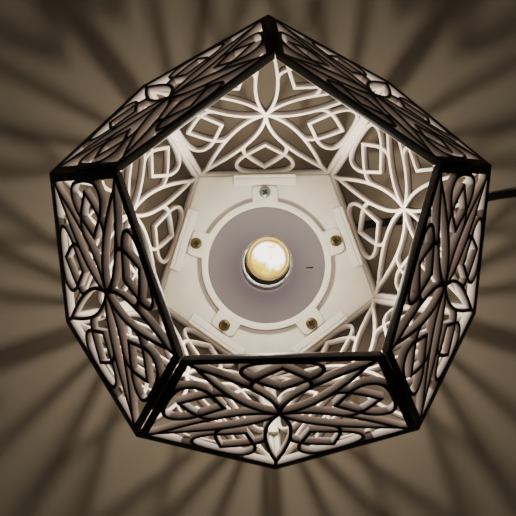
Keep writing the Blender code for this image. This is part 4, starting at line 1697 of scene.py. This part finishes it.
# ---- base plate, cup and screws -------------------------------------------------------------
@dataclass
class Base:
    """The base plate, the cup with its five lugs, the cover and the screws."""

    lantern: Lantern
    cup_radius: float = 0.0545
    hole_radius: float = 0.0551
    groove_radius: float = 0.0587
    groove_depth: float = 0.0015
    dish_edge: float = 0.0491
    cone_foot: float = 0.0223
    dish_floor: float = 0.0080
    dish_drop: float = 0.0012
    cup_wall: float = 0.0040
    cup_shell: float = 0.0022
    wire_hole: float = 0.0050
    lug_tip: float = 0.0670
    lug_half: float = 0.0107
    lug_corner: float = 0.0045
    corner_steps: int = 10
    lug_thickness: float = 0.0021
    lug_gap: float = 0.0006
    lug_sink: float = 0.0008
    first_lug: float = math.pi / 2
    slit: Pair = (0.0062, 0.0010)
    slit_place: Pair = (0.0364, -0.0025)
    screw_tall: float = 0.0022
    screw_core: float = 0.0014
    screw_shank: float = 0.0018
    thread_turns: int = 7
    thread_pitch: float = 0.0008
    steps: int = 160

    def plate(self) -> bpy.types.Object:
        """Build the pentagon plate with the stepped hole for the cup.

        Returns:
            The finished piece.
        """
        lantern = self.lantern
        outer = lantern.pentagon(lantern.plate_edge - lantern.soft)
        hole = level_ring(self.hole_radius + lantern.soft, 0, self.steps)
        mesh = outline_solid("base_plate", (outer, hole), lantern.thickness, lantern.soft)
        lantern.mitred(mesh, lantern.plate_edge)
        item = new_object("pentagon_plate", mesh)
        top = lantern.foot + lantern.thickness
        stand(item, UP * lantern.foot, Vector((1, 0, 0)), Vector((0, -1, 0)))
        bpy.context.view_layer.update()
        tool = lathe("groove", [(0, top + 0.002), (self.groove_radius, top + 0.002),
                                (self.groove_radius, top - self.groove_depth),
                                (0, top - self.groove_depth)], 2 * self.steps)
        carved(item, tool, own_faces=True)
        recess = offset(self.lug_outline(), -self.lug_gap)
        for turned in self.lug_turns():
            tool = cutter("recess", (recess,), 2 * self.lug_sink, (0, 0, top), turned)
            carved(item, tool, own_faces=True)
        dress(item, WHITE, GROOVE_PAINTED_SHADE)
        # The faces sunk in the groove and round the lugs take the grey finish: painted shade.
        for face in item.data.polygons:
            centre = item.matrix_world @ face.center
            reach = math.hypot(centre.x, centre.y)
            sunk = centre.z > top - self.groove_depth - 0.0005
            face.material_index = int(sunk and centre.z < top - 0.0001
                                      and reach < self.lug_tip + 2 * self.lug_gap)
        smooth(item, 40)
        return finish_piece(item, Body.LAMP, "white_plastic", "base_plate")

    def lug_turns(self) -> list[float]:
        """Return the directions of the five lugs."""
        return [self.first_lug + self.lantern.step * k for k in range(self.lantern.sides)]

    def lug_outline(self) -> Outline:
        """Return a lug seen from above, with the screw's radius along X.

        Returns:
            The outline.
        """
        inner = self.cup_radius - self.cup_wall / 2
        centre = self.lug_tip - self.lug_corner
        outline = [Vector((inner, -self.lug_half))]
        for side, start in ((-1, -90), (1, 0)):
            middle = side * (self.lug_half - self.lug_corner)
            for step in range(self.corner_steps + 1):
                angle = math.radians(start + 90 * step / self.corner_steps)
                outline.append(Vector((centre + self.lug_corner * math.cos(angle),
                                       middle + self.lug_corner * math.sin(angle))))
        return outline + [Vector((inner, self.lug_half))]

    def cup(self) -> bpy.types.Object:
        """Build the cup with its rim, its dish, its lugs and the slit in its dish.

        Returns:
            The finished piece.
        """
        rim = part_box("base_cup")[1].z
        lug_top = rim - 0.0002
        inside = self.cup_radius - self.cup_wall
        rise = rim - self.dish_drop - self.dish_floor
        slope = rise / (self.dish_edge - self.cone_foot)
        under = self.dish_floor - self.cup_shell
        profile = softened([
            (self.cup_radius, rim),
            (self.cup_radius, 0.0001),
            (inside, 0.0001),
            (inside, under + slope * (inside - self.cone_foot)),
            (self.cone_foot, under),
            (self.wire_hole, under),
            (self.wire_hole, self.dish_floor),
            (self.cone_foot, self.dish_floor),
            (self.dish_edge, self.dish_floor + rise),
            (self.dish_edge, rim),
        ], 0.0005, 3, closed=True)
        item = lathe("cup_with_lugs", profile, self.steps, closed=True)
        for turned in self.lug_turns():
            carved(item, cutter("lug", (self.lug_outline(),), self.lug_thickness,
                                (0, 0, lug_top - self.lug_thickness / 2), turned), "UNION")
        carved(item, cutter("slit", (rounded_box(*self.slit, 0.0004),), 0.02,
                            (*self.slit_place, 0.012)))
        dress(item, WHITE, DISH_PAINTED_SHADE)
        # The dish's faces take the grey finish: painted shade.
        for face in item.data.polygons:
            reach = math.hypot(face.center.x, face.center.y)
            if reach < self.dish_edge + 0.0001 and face.center.z < rim - 0.0004:
                face.material_index = 1
        smooth(rounded(item, 0.0003), 30)
        return finish_piece(item, Body.LAMP, "white_plastic", "base_cup")

    def cover(self) -> bpy.types.Object:
        """Build the cover under the cup, with a ring groove in its underside.

        Returns:
            The finished piece.
        """
        low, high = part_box("bottom_cover")
        radius = high.x
        profile = softened([(0, high.z), (radius, high.z), (radius, low.z), (0, low.z)], 0.0004)
        item = lathe("cup_cover", profile, self.steps)
        inner, outer = radius - 0.006, radius - 0.005
        below, above = low.z - 0.001, low.z + 0.0004
        carved(item, lathe("groove", [(inner, below), (outer, below), (outer, above),
                                      (inner, above)], self.steps, closed=True))
        smooth(dress(item, WHITE), 30)
        return finish_piece(item, Body.LAMP, "white_plastic", "bottom_cover")

    def screw(self, number: int) -> bpy.types.Object:
        """Build one pan-head screw with a cross recess.

        Args:
            number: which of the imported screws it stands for, from 1.

        Returns:
            The screw.
        """
        low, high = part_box(f"base_screw_{number}")
        middle = (low + high) / 2
        head = (high.x - low.x) / 2
        tall = self.screw_tall
        seat = high.z - tall
        core, shank = self.screw_core, self.screw_shank
        profile = [(0, high.z), (head * 0.45, high.z - tall * 0.03),
                   (head * 0.75, high.z - tall * 0.18), (head * 0.93, high.z - tall * 0.45),
                   (head, seat + tall * 0.15), (head, seat), (shank, seat)]
        for turn in range(self.thread_turns):
            z = seat - (turn + 0.5) * self.thread_pitch
            profile += [(shank, z), (core, z - self.thread_pitch / 2)]
        profile += [(core, low.z), (0, low.z)]
        item = lathe(f"pan_screw_{number}", profile, 64)
        blade = rounded_box(head * 1.15, 0.0013, 0.0002)
        for turned in (0.0, math.pi / 2):
            carved(item, cutter("blade", (blade,), 0.0026, (0, 0, high.z), turned))
        dress(item, ZINC if number == 1 else BRASS, SCREW_PAINTED_SHADE)
        # The cross recess and the head's rim take the near-black finish: painted shade.
        for face in item.data.polygons:
            reach = math.hypot(face.center.x, face.center.y)
            recess = reach < head * 0.55 and face.center.z < high.z - tall * 0.2
            skirt = reach > head * 0.90
            face.material_index = int(face.center.z > seat and (recess or skirt))
        smooth(rounded(item, 0.00012), 30)
        item.data.transform(Matrix.Rotation(math.radians(25 + 31 * number), 4, "Z"))
        item.location = (middle.x, middle.y, 0)
        slot = "zinc_steel" if number == 1 else "brass"
        return finish_piece(item, Body.LAMP, slot, f"base_screw_{number}")


# ---- lampholder and bulb --------------------------------------------------------------------
@dataclass
class Lampholder:
    """The black holder, its bright rim, its ceramic, its thread and its contact."""

    wall: float = 0.0020
    floor: float = 0.0027
    wire_hole: float = 0.0050
    sleeve_wall: float = 0.0006
    mouth: float = 0.0080
    steps: int = 96

    def shell(self) -> bpy.types.Object:
        """Build the holder's shell, with two shallow rings round it.

        Returns:
            The finished piece.
        """
        low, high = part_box("holder_shell")
        radius = high.x
        bore = radius - self.wall
        profile = [(radius, high.z)]
        for z in (high.z - 0.006, high.z - 0.008):
            profile += [(radius, z), (radius - 0.0004, z - 0.0003), (radius - 0.0004, z - 0.0009),
                        (radius, z - 0.0012)]
        profile += [(radius, low.z), (self.wire_hole, low.z),
                    (self.wire_hole, low.z + self.floor), (bore, low.z + self.floor),
                    (bore, high.z)]
        item = lathe("holder_body", softened(profile, 0.0003, 3, closed=True), self.steps,
                     closed=True)
        return finish_piece(dress(item, BLACK), Body.LAMP, "black_plastic", "holder_shell")

    def rim(self) -> bpy.types.Object:
        """Build the thin bright rim.

        Returns:
            The finished piece.
        """
        low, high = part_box("holder_rim")
        profile = [(high.x, high.z), (high.x, low.z), (high.x - self.wall, low.z),
                   (high.x - self.wall, high.z)]
        item = lathe("bright_rim", softened(profile, 0.0004, 4, closed=True), self.steps,
                     closed=True)
        return finish_piece(dress(item, SILVER), Body.LAMP, "silver_rim", "holder_rim")

    def insert(self) -> bpy.types.Object:
        """Build the ceramic insert.

        Returns:
            The finished piece.
        """
        low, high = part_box("holder_insert")
        profile = softened([(0, high.z), (high.x, high.z), (high.x, low.z), (0, low.z)], 0.0005)
        item = lathe("ceramic_insert", profile, self.steps)
        return finish_piece(dress(item, CERAMIC), Body.LAMP, "ceramic", "holder_insert")

    def sleeve(self) -> bpy.types.Object:
        """Build the brass thread sleeve, whose foot turns in round the contact.

        Returns:
            The finished piece.
        """
        low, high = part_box("thread_sleeve")
        outside = high.x
        inside = outside - self.sleeve_wall
        profile = [(outside, high.z), (outside, low.z), (self.mouth, low.z),
                   (self.mouth, low.z + self.sleeve_wall), (inside, low.z + self.sleeve_wall),
                   (inside, high.z)]
        item = lathe("thread_sleeve_brass", softened(profile, 0.0002, 2, closed=True),
                     self.steps, closed=True)
        return finish_piece(dress(item, BRASS), Body.LAMP, "brass", "thread_sleeve")

    def contact(self) -> bpy.types.Object:
        """Build the centre contact."""
        item = softened_copy("centre_contact", "contact_strip", BRASS, 0.0001)
        return finish_piece(item, Body.LAMP, "brass", "centre_contact")


@dataclass
class Bulb:
    """The lamp bulb: cap, body, ring and lens, which lift out together."""

    thread_radius: float = 0.0130
    thread_depth: float = 0.0008
    pitch: float = 0.0036
    thread_low: float = 0.0212
    thread_high: float = 0.0392
    rows: int = 150
    tip_radius: float = 0.0048
    ring_width: float = 0.0026
    steps: int = 96
    glow_power: float = 3.2
    glow_size: float = 0.0065
    glow_rise: float = 0.008
    glow_colour: Triple = (1.0, 0.89, 0.73)
    spill_power: float = 0.35
    spill_colour: Triple = (1.0, 0.93, 0.78)

    def cap(self) -> bpy.types.Object:
        """Build the screw cap: a helical rolled thread on a rounded sleeve, and a solder tip.

        Returns:
            The finished piece.
        """
        low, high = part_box("bulb_cap")
        foot = self.thread_radius - self.thread_depth
        start = self.thread_low
        rings = [level_ring(radius, height, self.steps) for radius, height in (
            (self.tip_radius * 0.4, low.z), (self.tip_radius * 0.8, low.z + 0.0002),
            (self.tip_radius, low.z + 0.0008), (foot * 0.62, start - 0.0024),
            (foot * 0.80, start - 0.0016), (foot * 0.93, start - 0.0007))]
        for row in range(self.rows + 1):
            z = start + (high.z - start) * row / self.rows
            fade = min(1.0, max(0.0, (self.thread_high - z) / self.pitch),
                       max(0.0, (z - start) / self.pitch))
            ring = []
            for k in range(self.steps):
                angle = 2 * math.pi * k / self.steps
                wave = math.cos(2 * math.pi * z / self.pitch - angle)
                radius = self.thread_radius - self.thread_depth * (0.5 + 0.5 * wave * fade)
                ring.append(Vector((radius * math.cos(angle), radius * math.sin(angle), z)))
            rings.append(ring)
        item = dress(loft("screw_cap", rings), NICKEL)
        return finish_piece(item, Body.BULB, "nickel", "bulb_cap")

    def body(self) -> bpy.types.Object:
        """Build the bulb's dark body, a shallow bowl on a tapering stem.

        Returns:
            The finished piece.
        """
        low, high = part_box("bulb_body")
        radius = high.x
        tall = high.z - low.z
        lip = 0.0145
        profile = [(0, low.z + tall * 0.45), (lip * 0.5, low.z + tall * 0.52),
                   (lip, high.z), (radius, high.z), (radius * 0.995, low.z + tall * 0.86),
                   (radius * 0.96, low.z + tall * 0.72), (radius * 0.90, low.z + tall * 0.48),
                   (radius * 0.83, low.z + tall * 0.24), (0.0133, low.z), (0, low.z)]
        item = lathe("bulb_shell", softened(profile, 0.0012, 4), self.steps)
        return finish_piece(dress(item, DARK), Body.BULB, "black_plastic", "bulb_body")

    def ring(self) -> bpy.types.Object:
        """Build the pale gold ring, whose inner side steps down to the lens.

        Returns:
            The finished piece.
        """
        low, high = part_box("bulb_ring")
        outer = high.x
        inner = outer - self.ring_width
        profile = [(outer - 0.0005, high.z), (outer, high.z - 0.0006), (outer, low.z),
                   (inner, low.z), (inner, high.z - 0.0034), (inner + 0.0002, high.z - 0.0026),
                   (inner + 0.0010, high.z - 0.0022), (inner + 0.0010, high.z - 0.0004),
                   (inner + 0.0013, high.z)]
        item = lathe("gold_ring", softened(profile, 0.0003, 3, closed=True), self.steps,
                     closed=True)
        return finish_piece(dress(item, GOLD), Body.BULB, "champagne_metal", "bulb_ring")

    def lens(self) -> bpy.types.Object:
        """Build the faceted lens.

        Returns:
            The finished piece.
        """
        low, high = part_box("bulb_lens")
        radius = high.x
        crown = high.z - low.z
        profile = [(0, high.z), (radius * 0.25, high.z - crown * 0.05),
                   (radius * 0.5, high.z - crown * 0.15), (radius * 0.75, high.z - crown * 0.37),
                   (radius * 0.93, high.z - crown * 0.60), (radius, high.z - crown * 0.70),
                   (radius, low.z), (0, low.z)]
        item = lathe("faceted_lens", profile, self.steps)
        dress(item, LitLens("lit_lens", radius))
        return finish_piece(item, Body.BULB, "lens_glass", "bulb_lens")

    def light(self, name: str, power: float, colour: Triple,
              lens: bpy.types.Object) -> bpy.types.Object:
        """Hang a round light just above the lens.

        Args:
            name: the light's name.
            power: its power, in watts.
            colour: its colour.
            lens: the lens, which it rides on.

        Returns:
            The light.
        """
        data = bpy.data.lights.new(name, "POINT")
        data.energy = power
        data.shadow_soft_size = self.glow_size
        data.color = colour
        item = new_object(name, data)
        item.location = (0, 0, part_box("bulb_lens")[1].z + self.glow_rise)
        bpy.context.view_layer.update()
        world = item.matrix_world.copy()
        item.parent = lens
        item.matrix_parent_inverse = lens.matrix_world.inverted()
        item.matrix_world = world
        return item

    def glow(self, lens: bpy.types.Object, dimmed: Sequence[bpy.types.Object]) -> None:
        """Hang up the bulb's own light.

        Args:
            lens: the lens, which the light rides on.
            dimmed: the pieces that the light is too close to, and so doesn't fall on.
        """
        light = self.light("bulb_glow", self.glow_power, self.glow_colour, lens)
        light.light_linking.receiver_collection = link_group("away_from_glow", dimmed, "EXCLUDE")

    def spill(self, lens: bpy.types.Object, lit: Sequence[bpy.types.Object],
              blocking: Sequence[bpy.types.Object]) -> None:
        """Hang up the light that spills past the bulb's ring onto the base.

        Args:
            lens: the lens, which the light rides on.
            lit: the pieces that it falls on.
            blocking: the pieces that cast its shadows.
        """
        light = self.light("bulb_spill", self.spill_power, self.spill_colour, lens)
        linking = light.light_linking
        linking.receiver_collection = link_group("lit_by_spill", lit, "INCLUDE")
        linking.blocker_collection = link_group("spill_shadows", blocking, "INCLUDE")


def main() -> None:
    """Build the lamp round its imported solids, with its studio."""
    logging.basicConfig(level=logging.INFO, format="%(message)s")
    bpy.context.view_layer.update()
    studio = Studio()
    studio.camera()
    cord = MainsCord()
    lead = cord.build()
    switch = InlineSwitch(cord)
    on_cord = [switch.case(), switch.rocker(), cord.tie()] + MainsPlug().build()
    cord.relief()

    lantern = Lantern()
    lantern.panels()
    near_base = lantern.clips()

    base = Base(lantern)
    near_base += [base.plate(), base.cup()]
    base.cover()
    near_base += [base.screw(number) for number in range(1, lantern.sides + 1)]

    holder = Lampholder()
    holder.shell()
    rim = holder.rim()
    holder.insert()
    holder.sleeve()
    holder.contact()

    bulb = Bulb()
    bulb.cap()
    bulb.body()
    ring = bulb.ring()
    lens = bulb.lens()
    bulb.glow(lens, (ring, lens))
    bulb.spill(lens, near_base + [rim], near_base)

    studio.floor()
    studio.lights()


if __name__ == "__main__":
    main()
